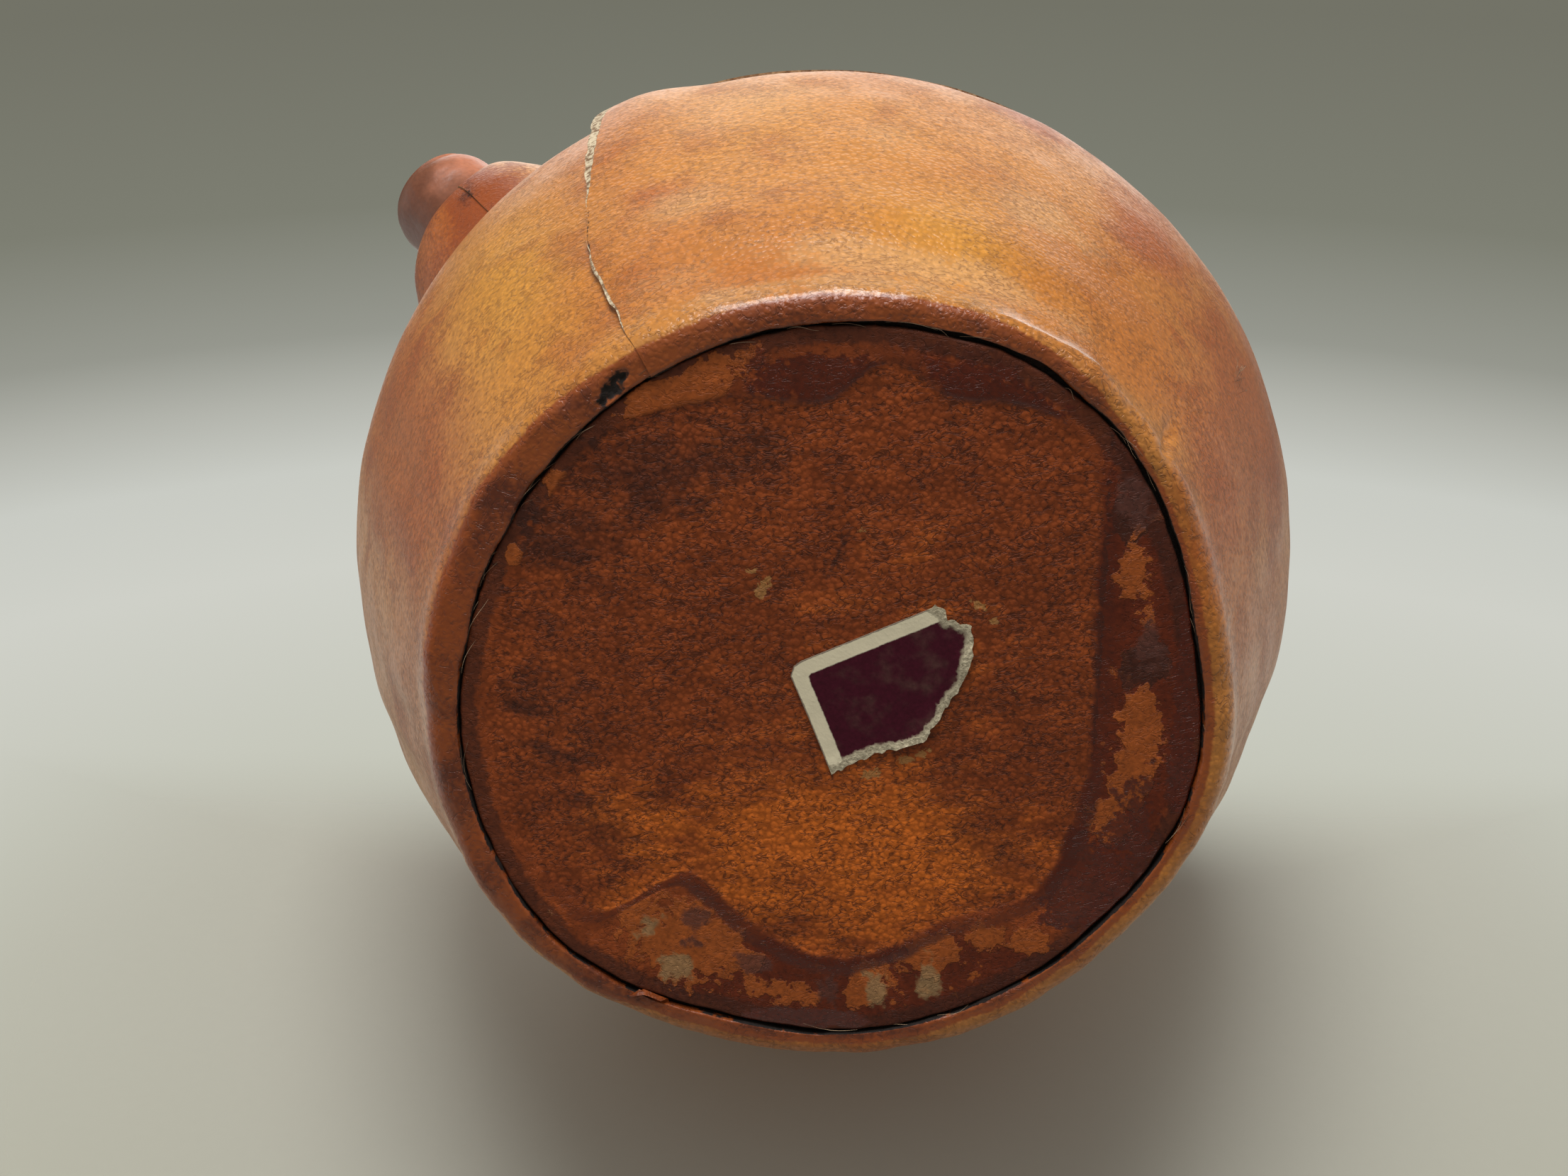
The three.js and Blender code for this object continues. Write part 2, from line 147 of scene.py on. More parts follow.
@dataclass(frozen=True)
class Spline:
    """Smooth curve through given (position, value) points, closed where it has a period."""

    points: Pairs
    period: float = 0.0

    def __call__(self, at: Array) -> Array:
        """Values of the curve.

        Args:
            at: Positions.

        Returns:
            A value for each position.
        """
        x, y = np.array(self.points).T
        at = np.asarray(at, dtype=float)
        if self.period:
            at = (at - x[0]) % self.period + x[0]
            x = np.concatenate([x[-2:] - self.period, x, x[:2] + self.period])
            y = np.concatenate([y[-2:], y, y[:2]])
        slope = np.gradient(y, x)
        k = np.clip(np.searchsorted(x, at) - 1, 0, len(x) - 2)
        span = x[k + 1] - x[k]
        t = np.clip((at - x[k]) / span, 0.0, 1.0)
        rise = t * t * (3 - 2 * t)
        lead = t * (1 - t) ** 2 * span * slope[k]
        tail = t * t * (t - 1) * span * slope[k + 1]
        return y[k] + rise * (y[k + 1] - y[k]) + lead + tail


@dataclass(frozen=True)
class Blot:
    """Soft oval mark: its field is 1 in the middle and one half at its outline."""

    x: float
    y: float
    half_x: float
    half_y: float
    turn: float = 0.0
    strength: float = 1.0

    def field(self, x: Array, y: Array) -> Array:
        """Field of the mark.

        Args:
            x: First plane coordinates.
            y: Second plane coordinates.

        Returns:
            The field at each place.
        """
        c, s = math.cos(math.radians(self.turn)), math.sin(math.radians(self.turn))
        u = ((x - self.x) * c + (y - self.y) * s) / self.half_x
        v = ((y - self.y) * c - (x - self.x) * s) / self.half_y
        return self.strength * np.exp(-0.69 * (u * u + v * v))


Blots = tuple[Blot, ...]
Stains = tuple[tuple[str, Blots], ...]


def marks(blots: Blots, x: Array, y: Array) -> Array:
    """Strongest field of several marks."""
    return np.max([blot.field(x, y) for blot in blots], axis=0)


def ease(values: Array, low: float, high: float) -> Array:
    """Smooth step from 0 at low to 1 at high."""
    t = np.clip((np.asarray(values, dtype=float) - low) / (high - low), 0.0, 1.0)
    return t * t * (3 - 2 * t)


def bell(values: Array, width: float) -> Array:
    """Bell curve of a half width."""
    return np.exp(-((np.asarray(values, dtype=float) / width) ** 2))


def wrapped(degrees: Array) -> Array:
    """Angles brought into -180 to 180."""
    return (np.asarray(degrees) + 180.0) % 360.0 - 180.0


def unit(values: Sequence[float] | Array) -> Array:
    """Directions of length one, along the last axis."""
    made = np.asarray(values, dtype=float)
    return made / np.linalg.norm(made, axis=-1, keepdims=True)


def joined(*coordinates: Array | float) -> Array:
    """Points from coordinates of any matching shapes."""
    return np.stack(np.broadcast_arrays(*coordinates), axis=-1)


def polar(radius: Array | float, degrees: Array, height: Array | float) -> Array:
    """Points at a radius and an angle about Z."""
    turn = np.radians(degrees)
    return joined(radius * np.cos(turn), radius * np.sin(turn), height)


def arc(start: float, end: float, steps: int) -> Array:
    """Angles in radians from one angle in degrees to another."""
    return np.radians(np.linspace(start, end, steps))


# Meshes


def smooth(piece: Piece, angle: float = 42.0) -> None:
    """Shade a piece smoothly, with sharp edges over an angle."""
    piece.data.shade_smooth()
    piece.data.set_sharp_from_angle(angle=math.radians(angle))


def placed(name: str, data: Any) -> Piece:
    """Put a mesh, lamp or camera into the scene.

    Args:
        name: Name of the object.
        data: The mesh, lamp or camera.

    Returns:
        The object.
    """
    piece = bpy.data.objects.new(name, data)
    bpy.context.scene.collection.objects.link(piece)
    return piece


def meshed(name: str, points: Array, faces: list[list[int]]) -> Mesh:
    """Make a mesh.

    Args:
        name: Name of the mesh.
        points: Points in millimetres.
        faces: Points of each face, by number.

    Returns:
        The mesh, in metres.
    """
    mesh = bpy.data.meshes.new(name)
    mesh.from_pydata((points.reshape(-1, 3) * MM).tolist(), [], faces)
    return mesh


def carry(mesh: Mesh, name: str, values: Array | float, shape: tuple[int, ...]) -> None:
    """Write a field that a mesh carries, spread over the shape of its points."""
    layer = mesh.attributes.new(name, "FLOAT", "POINT")
    layer.data.foreach_set("value", np.broadcast_to(values, shape).astype(np.float32).ravel())


@dataclass
class Sheet:
    """Grid of points in millimetres that becomes a piece, thickened inwards where it has a thickness."""

    name: str
    points: Array
    fields: dict[str, Array | float]
    keep: Array | None = None
    closed: bool = False
    looped: bool = False
    flip: bool = False
    thickness: Array | float = 0.0

    def _faces(self) -> list[list[int]]:
        """Number the quads of the grid.

        Returns:
            Points of each quad, in the order that faces outwards.
        """
        rows, columns = self.points.shape[:2]
        index = np.arange(rows * columns).reshape(rows, columns)
        if self.closed:
            index = np.hstack([index, index[:, :1]])
        if self.looped:
            index = np.vstack([index, index[:1]])
        quads = np.stack([index[:-1, :-1], index[:-1, 1:], index[1:, 1:], index[1:, :-1]], axis=-1)
        quads = quads.reshape(-1, 4) if self.keep is None else quads[self.keep]
        return (quads[:, ::-1] if self.flip else quads).tolist()

    def build(self) -> Piece:
        """Make the piece, with its fields as attributes.

        Returns:
            The piece, without materials.
        """
        mesh = meshed(self.name, self.points, self._faces())
        shape = self.points.shape[:2]
        for name, values in self.fields.items():
            carry(mesh, name, values, shape)
        thickest = float(np.max(self.thickness))
        if thickest:
            carry(mesh, "share", np.asarray(self.thickness) / thickest, shape)
        self._weld(mesh)
        piece = placed(self.name, mesh)
        if thickest:
            self._thicken(piece, thickest)
        smooth(piece)
        return piece

    def _weld(self, mesh: Mesh) -> None:
        """Join points that lie on each other and drop those without a face.

        Args:
            mesh: Mesh to change.
        """
        work = bmesh.new()
        work.from_mesh(mesh)
        bmesh.ops.remove_doubles(work, verts=work.verts, dist=1e-6)
        loose = [v for v in work.verts if not v.link_faces]
        bmesh.ops.delete(work, geom=loose, context="VERTS")
        work.to_mesh(mesh)
        work.free()

    def _thicken(self, piece: Piece, thickest: float) -> None:
        """Give the sheet its thickness; its cut edges take the second material.

        Args:
            piece: Piece of the thin sheet, whose share attribute holds parts of the thickness.
            thickest: Greatest thickness in millimetres.
        """
        for _ in range(2):
            piece.data.materials.append(None)
        group = piece.vertex_groups.new(name="share")
        for k, entry in enumerate(piece.data.attributes["share"].data):
            group.add([k], entry.value, "REPLACE")
        made = piece.modifiers.new("leather", "SOLIDIFY")
        made.vertex_group = group.name
        made.thickness = thickest * MM
        made.offset = -1.0
        made.material_offset_rim = 1
        graph = bpy.context.evaluated_depsgraph_get()
        solid = bpy.data.meshes.new_from_object(piece.evaluated_get(graph))
        piece.modifiers.clear()
        flat, piece.data = piece.data, solid
        bpy.data.meshes.remove(flat)


def strands(name: str, paths: Sequence[Array], radius: float) -> Piece:
    """Thin three-sided fibres.

    Args:
        name: Name of the piece.
        paths: Points of each fibre in millimetres.
        radius: Radius of the fibres; they taper to their ends.

    Returns:
        One mesh piece with all the fibres.
    """
    points: list[Array] = []
    faces: list[list[int]] = []
    for path in paths:
        along = np.gradient(path, axis=0)
        side = unit(np.cross(along, unit((0.31, 0.52, 0.79))))
        up = unit(np.cross(side, along))
        taper = radius * (0.35 + 0.65 * np.sin(np.linspace(0.15, math.pi - 0.15, len(path))))[:, None]
        first = sum(len(p) for p in points)
        rings = [path + taper * (math.cos(a) * side + math.sin(a) * up) for a in np.arange(3) * TURN / 3]
        points.append(np.stack(rings, axis=1).reshape(-1, 3))
        last = first + 3 * (len(path) - 1)
        faces += [[first + 2, first + 1, first], [last, last + 1, last + 2]]
        for low in range(first, last, 3):
            faces += [[low + i, low + (i + 1) % 3, low + 3 + (i + 1) % 3, low + 3 + i] for i in range(3)]
    piece = placed(name, meshed(name, np.vstack(points), faces))
    smooth(piece, 80.0)
    return piece


# Shader values


class Wire:
    """Output of a shader node, with the arithmetic that finishes use."""

    def __init__(self, board: "Board", socket: bpy.types.NodeSocket | None) -> None:
        """Keep a node's output socket and its board."""
        self.board = board
        self.socket = socket

    def _math(self, operation: str, *values: "Wire | float") -> "Wire":
        """A Math node on values."""
        return self.board.add("ShaderNodeMath", {"operation": operation}, dict(enumerate(values)))

    def __add__(self, other: "Wire | float") -> "Wire":
        """Sum."""
        return self._math("ADD", self, other)

    def __radd__(self, other: float) -> "Wire":
        """Sum with a number on the left."""
        return self._math("ADD", other, self)

    def __sub__(self, other: "Wire | float") -> "Wire":
        """Difference."""
        return self._math("SUBTRACT", self, other)

    def __rsub__(self, other: float) -> "Wire":
        """Difference from a number on the left."""
        return self._math("SUBTRACT", other, self)

    def __mul__(self, other: "Wire | float") -> "Wire":
        """Product."""
        return self._math("MULTIPLY", self, other)

    def __rmul__(self, other: float) -> "Wire":
        """Product with a number on the left."""
        return self._math("MULTIPLY", other, self)

    def __truediv__(self, other: "Wire | float") -> "Wire":
        """Quotient."""
        return self._math("DIVIDE", self, other)

    def __rtruediv__(self, other: float) -> "Wire":
        """Quotient of a number on the left."""
        return self._math("DIVIDE", other, self)

    def most(self, other: "Wire | float") -> "Wire":
        """The greater of two values."""
        return self._math("MAXIMUM", self, other)

    def swing(self, amount: float) -> "Wire":
        """A noise about zero, times an amount."""
        return (self - 0.5) * amount

    def step(self, low: float, high: float) -> "Wire":
        """Smooth step from 0 at low to 1 at high."""
        settings = {"interpolation_type": "SMOOTHSTEP"}
        return self.board.add("ShaderNodeMapRange", settings, {0: self, 1: low, 2: high})

    def thin(self, low: float, high: float) -> "Wire":
        """Lines where the value passes zero: from 1 to 0 between two squares of it."""
        return 1.0 - (self * self).step(low, high)


class Board:
    """Node tree of a material or a world, in which coordinates are millimetres."""

    def __init__(self, owner: Material | bpy.types.World) -> None:
        """Start with an empty tree.

        Args:
            owner: The material or world.
        """
        owner.use_nodes = True
        self.owner = owner
        self.tree = owner.node_tree
        self.tree.nodes.clear()

    @classmethod
    def material(cls, name: str) -> "Board":
        """The board of a new material."""
        return cls(bpy.data.materials.new(name))

    @cached_property
    def place(self) -> Wire:
        """Place on the object."""
        where = self.add("ShaderNodeTexCoord", output="Object")
        return self.add("ShaderNodeVectorMath", {"operation": "SCALE"}, {0: where, "Scale": 1 / MM})

    def add(
        self,
        kind: str,
        settings: dict[str, Any] | None = None,
        inputs: dict[str | int, Any] | None = None,
        output: str | int = 0,
    ) -> Wire:
        """Add a node.

        Args:
            kind: Node type.
            settings: Properties of the node, set first; stops are those of a colour ramp.
            inputs: Values or wires of its sockets.
            output: Which output to return.

        Returns:
            The output as a wire, without a socket for a node that has no output.
        """
        node = self.tree.nodes.new(kind)
        for name, value in (settings or {}).items():
            if name == "stops":
                self._set_stops(node.color_ramp.elements, value)
            else:
                setattr(node, name, value)
        for name, value in (inputs or {}).items():
            socket = node.inputs[name]
            if isinstance(value, Wire):
                self.tree.links.new(value.socket, socket)
            elif socket.type == "RGBA" and len(value) == 3:
                socket.default_value = (*value, 1.0)
            else:
                socket.default_value = value
        return Wire(self, node.outputs[output] if node.outputs else None)

    @staticmethod
    def _set_stops(elements: Any, stops: Sequence[tuple[float, Colour]]) -> None:
        """Write the stops of a colour ramp.

        Args:
            elements: Elements of the ramp.
            stops: Position and colour of each stop.
        """
        while len(elements) < len(stops):
            elements.new(1.0)
        for element, (position, colour) in zip(elements, stops):
            element.position = position
            element.color = (*colour, 1.0)

    def noise(
        self,
        size: float,
        seed: float,
        detail: float = 3.0,
        warp: float = 0.0,
        stretch: Triple = (1.0, 1.0, 1.0),
        turn: float = 0.0,
    ) -> Wire:
        """Cloudy noise from 0 to 1.

        Args:
            size: Size of its lumps.
            seed: Which noise.
            detail: How many finer layers it has.
            warp: How far it is distorted.
            stretch: Length of the lumps along each axis.
            turn: Angle of those axes about Z, in degrees.

        Returns:
            The noise.
        """
        shift = (37.0 * seed, 11.0 * seed, 23.0 * seed)
        spin = (0.0, 0.0, math.radians(turn))
        axes = {"Vector": self.place, "Location": shift, "Rotation": spin, "Scale": stretch}
        at = self.add("ShaderNodeMapping", {"vector_type": "TEXTURE"}, axes)
        inputs = {"Vector": at, "Scale": 1 / size, "Detail": detail, "Distortion": warp}
        return self.add("ShaderNodeTexNoise", None, inputs)

    def cells(self, size: float, wobble: float) -> Wire:
        """Pebbles of the grain.

        Args:
            size: Distance between pebbles.
            wobble: How far their places stray, in sizes.

        Returns:
            0 in the middle of each pebble and about 0.7 in the creases between them.
        """
        shift = {"Vector": self.place, "Scale": 0.7 / size, "Detail": 1.0}
        cloud = self.add("ShaderNodeTexNoise", None, shift, "Color")
        moved = self.add("ShaderNodeVectorMath", {"operation": "SCALE"}, {0: cloud, "Scale": wobble * size})
        at = self.add("ShaderNodeVectorMath", {"operation": "ADD"}, {0: self.place, 1: moved})
        return self.add("ShaderNodeTexVoronoi", None, {"Vector": at, "Scale": 1 / size})

    def field(self, name: str) -> Wire:
        """A field that the mesh carries."""
        return self.add("ShaderNodeAttribute", {"attribute_name": name}, output="Fac")

    def along(self, output: str, direction: Array) -> Wire:
        """Measure a vector of the shaded point.

        Args:
            output: Which vector of the Geometry node.
            direction: Direction of length one.

        Returns:
            How far the vector runs along the direction.
        """
        vector = self.add("ShaderNodeNewGeometry", output=output)
        inputs = {0: vector, 1: tuple(direction)}
        return self.add("ShaderNodeVectorMath", {"operation": "DOT_PRODUCT"}, inputs, "Value")

    def rays(self, *kinds: str) -> Wire:
        """1 for rays of the kinds, and otherwise 0."""
        return reduce(Wire.most, [self.add("ShaderNodeLightPath", output=kind) for kind in kinds])

    def mix(self, share: Wire | float, first: Wire | Colour, second: Wire | Colour) -> Wire:
        """Colour between two colours."""
        return self.add("ShaderNodeMix", {"data_type": "RGBA"}, {0: share, 6: first, 7: second}, 2)

    def coats(self, ground: Wire | Colour, *coats: tuple[Wire, Wire | Colour]) -> Wire:
        """Colour of a ground under coats, each with its share, laid one over another."""
        return reduce(lambda under, coat: self.mix(coat[0], under, coat[1]), coats, ground)

    def shade(self, colour: Wire, amount: Wire) -> Wire:
        """Brighten or darken a colour.

        Args:
            colour: The colour.
            amount: Brightness, 1 for no change.

        Returns:
            The colour times the brightness.
        """
        grey = self.add("ShaderNodeCombineColor", None, {0: amount, 1: amount, 2: amount})
        settings = {"data_type": "RGBA", "blend_type": "MULTIPLY"}
        return self.add("ShaderNodeMix", settings, {0: 1.0, 6: colour, 7: grey}, 2)

    def relief(self, height: Wire) -> Wire:
        """Normal of a height pattern in millimetres."""
        return self.add("ShaderNodeBump", None, {"Height": height, "Distance": MM, "Strength": 1.0})

    def finish(self, **inputs: Any) -> Material:
        """Close the material with a surface.

        Args:
            inputs: Sockets of the surface, with underscores for spaces.

        Returns:
            The material.
        """
        named = {name.replace("_", " "): value for name, value in inputs.items()}
        surface = self.add("ShaderNodeBsdfPrincipled", None, named)
        self.add("ShaderNodeOutputMaterial", None, {"Surface": surface})
        return self.owner


# Finishes


@dataclass(frozen=True)
class TanLeather:
    """Waxed tan leather with a pebble grain.

    The mesh may carry the fields gold, red, pale, stain, raw, gloss, grain and painted shade.
    """

    name: str = "tan leather"
    light: Colour = (0.53, 0.212, 0.045)
    middle: Colour = (0.45, 0.145, 0.024)
    rust: Colour = (0.35, 0.074, 0.011)
    gold: Colour = (0.58, 0.250, 0.032)
    peach: Colour = (0.60, 0.31, 0.115)
    mauve: Colour = (0.30, 0.125, 0.060)
    crease: Colour = (0.21, 0.070, 0.014)
    chestnut: Colour = (0.29, 0.060, 0.013)
    mahogany: Colour = (0.095, 0.019, 0.007)
    soot: Colour = (0.014, 0.008, 0.006)
    fibre: Colour = (0.66, 0.54, 0.36)
    shed: Colour = (0.20, 0.11, 0.05)
    grain_size: float = 0.85

    def make(self) -> Material:
        """Lay grain, stains, frayed edges, painted highlights and painted shade over the tan.

        Returns:
            The finished material.
        """
        board = Board.material(self.name)
        cloud = board.noise(38.0, 1.0, 2.0)
        patch = board.noise(11.0, 2.0, 5.0, 0.4)
        speck = board.noise(0.9, 3.0, 2.0)
        pebble = board.cells(self.grain_size, 0.9)
        wrinkle = board.noise(1.9, 4.0, 2.0, 0.7, (1.0, 1.0, 0.5)) - 0.5
        mottle = patch.swing(0.9) + speck.swing(0.4)
        crease = wrinkle.thin(0.0, 0.003) * (patch + speck.swing(0.8)).step(0.38, 0.6)
        stain, gloss = board.field("stain"), board.field("gloss")
        raw = (board.field("raw") + speck.swing(0.9)).step(0.35, 0.6)
        # Painted shade: near black in gaps, cracks, seams and the groove.
        soot = (board.field("soot") + mottle * 0.5 + speck.swing(0.8)).step(0.35, 0.65)
        colour = board.coats(
            board.mix(cloud.step(0.36, 0.64), self.middle, self.light),
            (board.field("gold") * (0.4 + patch), self.gold),
            (patch.step(0.52, 0.74) * 0.4, self.rust),
            # Red: a redder tone; on the spout's lower side it is painted shade.
            ((board.field("red") + mottle).step(0.25, 0.9) * 0.75, self.rust),
            # Pale: a peach tone that is partly painted highlight, on the body leather and the spout's upper
            # side.
            ((board.field("pale") + mottle * 1.6).step(0.35, 0.95) * 0.65, self.peach),
            ((cloud * 0.5 + mottle * 0.6).step(0.44, 0.6) * 0.35, self.mauve),
        )
        colour = board.coats(
            board.shade(colour, 1.14 - pebble.step(0.3, 0.7) * 0.2 - speck.swing(0.6)),
            (crease * 0.5, self.crease),
            ((stain + mottle).step(0.2, 0.5) * 0.9, self.chestnut),
            ((stain + mottle * 1.5).step(0.66, 1.2) * 0.9, self.mahogany),
            (raw, board.mix(speck.step(0.35, 0.6), self.shed, self.fibre)),
            (soot, self.soot),
        )
        pebbles = (1.0 - pebble.step(0.1, 0.7)) * (0.35 + board.field("grain") * 0.5) * 0.1 - crease * 0.07
        normal = board.relief(pebbles + patch * 0.35 + speck * (0.06 + raw * 0.5))
        roughness = 0.4 + patch.swing(0.3) + speck.swing(0.2) - gloss * 0.18 + raw.most(soot) * 0.4
        return board.finish(
            Base_Color=colour, Roughness=roughness, Normal=normal, Specular_IOR_Level=0.44,
            Coat_Weight=gloss * (1.0 - soot) * 0.8, Coat_Roughness=0.16,
        )


@dataclass(frozen=True)
class RawEdge:
    """Pale fibrous cut edge of the leather."""

    name: str = "raw leather edge"
    fibre: Colour = (0.46, 0.30, 0.15)
    dark: Colour = (0.14, 0.060, 0.022)
    soot: Colour = (0.014, 0.008, 0.006)

    def make(self) -> Material:
        """Mix pale and dark fibres, with painted shade where the edge lies in a crack, a seam or the groove.

        Returns:
            The finished material.
        """
        board = Board.material(self.name)
        hair = board.noise(0.7, 1.0, 4.0)
        wear_and_highlight = board.noise(9.0, 2.0)
        colour = board.mix((hair * 0.6 + wear_and_highlight * 0.6).step(0.42, 0.78), self.dark, self.fibre)
        # Painted shade on the cut edge where it lies in a crack, a seam or the groove.
        colour = board.mix((board.field("soot") + hair.swing(0.6)).step(0.3, 0.7), colour, self.soot)
        return board.finish(Base_Color=colour, Roughness=0.85, Normal=board.relief(hair * 0.3))


@dataclass(frozen=True)
class BaseLeather:
    """Brown grained leather of the base, with glue stains and flat worn patches round its edge.

    The mesh carries the fields band (millimetres past the wavy edge of the stained rim), rim (millimetres
    from the disc's edge), mottle, line, orange, beige, mauve, red, dark, glow and scuff.
    """

    name: str = "base leather"
    brown: Colour = (0.195, 0.041, 0.0095)
    middle: Colour = (0.265, 0.056, 0.012)
    amber: Colour = (0.54, 0.127, 0.015)
    orange: Colour = (0.34, 0.084, 0.016)
    glue: Colour = (0.080, 0.0115, 0.0045)
    umber: Colour = (0.048, 0.015, 0.009)
    beige: Colour = (0.30, 0.19, 0.085)
    tan: Colour = (0.44, 0.205, 0.062)
    mauve: Colour = (0.095, 0.034, 0.024)
    black: Colour = (0.016, 0.009, 0.007)
    fold_turn: float = 137.0

    def make(self) -> Material:
        """Lay worn leather in the middle and the stained rim round it.

        Returns:
            The finished material.
        """
        board = Board.material(self.name)
        cloud = board.noise(15.0, 1.0, 5.0, 0.5)
        patch = board.noise(5.0, 2.0, 5.0, 0.6)
        speck = board.noise(0.7, 3.0, 3.0)
        wrinkle = board.noise(1.9, 4.0, 2.0, 0.8, (1.0, 0.55, 1.0), self.fold_turn) - 0.5
        fold = board.noise(7.0, 6.0, 4.0, 0.5, (1.0, 0.4, 1.0), self.fold_turn) - 0.5
        pebble = board.cells(0.9, 0.9)
        mottle = patch.swing(0.9) + speck.swing(0.4)
        flake = patch.swing(1.5) + board.noise(1.5, 5.0, 4.0, 0.4).swing(0.9) + speck.swing(0.4)
        dashes = wrinkle.thin(0.0, 0.0032) * (patch + speck.swing(0.6)).step(0.36, 0.56)
        dark, sticky, from_edge = (board.field(name) for name in ("dark", "mottle", "rim"))
        near = (1.0 - from_edge.step(0.6, 5.0) + flake * 0.6).step(0.35, 0.7)
        colour = board.coats(
            board.mix((cloud + fold + mottle * 0.4).step(0.36, 0.66), self.brown, self.middle),
            ((board.field("glow") + cloud.swing(0.9) + fold + mottle * 0.6).step(0.2, 1.0), self.amber),
            ((dark - fold * 0.6 + flake * 0.6).step(0.2, 1.0) * 0.75, self.umber),
            (dashes * 0.6, self.umber),
        )
        colour = board.coats(
            board.shade(colour, 1.4 - speck.swing(1.1) - pebble.step(0.35, 0.7) * 0.5),
            ((board.field("scuff") + mottle + speck.swing(1.4)).step(0.5, 0.62) * 0.85, self.tan),
            (near * 0.55, self.umber),
        )
        flat = (board.field("orange") + flake).step(0.44, 0.54)
        red = (board.field("red") + flake * 0.8).step(0.36, 0.5)
        rim = board.coats(
            board.mix((patch + cloud.swing(0.6)).step(0.38, 0.64), self.brown, self.middle),
            ((sticky + flake * 0.5).step(0.2, 0.5) * 0.8, self.glue),
            ((sticky * 0.5 + flake * 1.3).step(0.62, 0.72) * 0.85, self.orange),
            (near * 0.7, self.umber),
            ((dark + flake).step(0.42, 0.58) * 0.85, self.umber),
            (flat * 0.85, self.orange),
            ((board.field("beige") + flake * 1.2).step(0.45, 0.8) * 0.75, self.beige),
            ((board.field("mauve") + flake * 1.2).step(0.45, 0.8) * 0.8, self.mauve),
            (red * 0.9, self.glue),
        )
        band = board.field("band") + patch.swing(2.0)
        outer = band.step(-0.3, 0.4)
        line = (band - 1.0).thin(0.8, 3.4) * board.field("line")
        colour = board.coats(
            colour,
            (outer, board.shade(rim, 1.25 - speck.swing(1.4) + patch.swing(0.8))),
            (line * 0.85, self.glue),
            # Painted shade: near black at the disc's edge, where it drops into the groove.
            (1.0 - (from_edge + mottle * 0.7).step(0.0, 0.35), self.black),
        )
        grain = (1.0 - pebble.step(0.1, 0.7)) * (1.0 - outer * 0.7) * 0.07 - dashes * 0.08
        normal = board.relief(grain + speck * 0.08 + flat * outer * 0.14 + patch * 0.22)
        wet = (red * outer).most(line)
        roughness = 0.52 - wet * 0.22 + speck.swing(0.25)
        return board.finish(
            Base_Color=colour, Roughness=roughness, Normal=normal, Specular_IOR_Level=0.22,
            Coat_Weight=wet * 0.4, Coat_Roughness=0.2,
        )


@dataclass(frozen=True)
class LipLeather:
    """Dark polished leather moulded over a neck's end, with a painted highlight in a warmer tone on its upper
    side.
    """

    name: str = "lip leather"
    dark: Colour = (0.150, 0.050, 0.024)
    painted_highlight: Colour = (0.46, 0.165, 0.085)

    def make(self) -> Material:
        """Paint a highlight of the warmer tone over the dark leather.

        Returns:
            The finished material.
        """
        board = Board.material(self.name)
        cloud = board.noise(9.0, 4.0, 4.0, 0.3)
        speck = board.noise(0.9, 2.0)
        # Painted highlight: the warmer tone where the mesh's field for the lip's upper side lies.
        share = (board.field("wear_and_highlight") + cloud.swing(1.1)).step(0.2, 0.9)
        colour = board.shade(board.mix(share, self.dark, self.painted_highlight), 1.1 - speck.swing(0.6))
        normal = board.relief(board.noise(1.4, 5.0) * 0.12 + cloud * 0.5)
        roughness = 0.42 + cloud.swing(0.25)
        return board.finish(Base_Color=colour, Roughness=roughness, Normal=normal, Specular_IOR_Level=0.45)


@dataclass(frozen=True)
class FiredClay:
    """Unglazed fired clay."""

    name: str = "fired clay"
    light: Colour = (0.50, 0.17, 0.07)
    dark: Colour = (0.36, 0.10, 0.036)

    def make(self) -> Material:
        """Cloud and speckle the clay.

        Returns:
            The finished material.
        """
        board = Board.material(self.name)
        cloud = board.noise(16.0, 1.0, 5.0)
        speck = board.noise(0.6, 2.0)
        colour = board.mix(cloud.step(0.3, 0.7), self.dark, self.light)
        colour = board.shade(colour, 1.1 - speck.swing(0.5))
        return board.finish(Base_Color=colour, Roughness=0.88, Normal=board.relief(speck * 0.12))


@dataclass(frozen=True)
class CorkBark:
    """Raw cork with dark pits."""

    name: str = "cork"
    pale: Colour = (0.58, 0.36, 0.17)
    deep: Colour = (0.30, 0.15, 0.06)

    def make(self) -> Material:
        """Pit the cork.

        Returns:
            The finished material.
        """
        board = Board.material(self.name)
        grain = board.cells(1.6, 0.8)
        pits = (board.noise(3.0, 1.0, 4.0) + grain.swing(0.3)).step(0.58, 0.68)
        colour = board.mix(grain.step(0.2, 0.8) * 0.5, self.pale, self.deep)
        colour = board.mix(pits, colour, self.deep)
        return board.finish(Base_Color=colour, Roughness=0.8, Normal=board.relief((1.0 - pits) * 0.5))


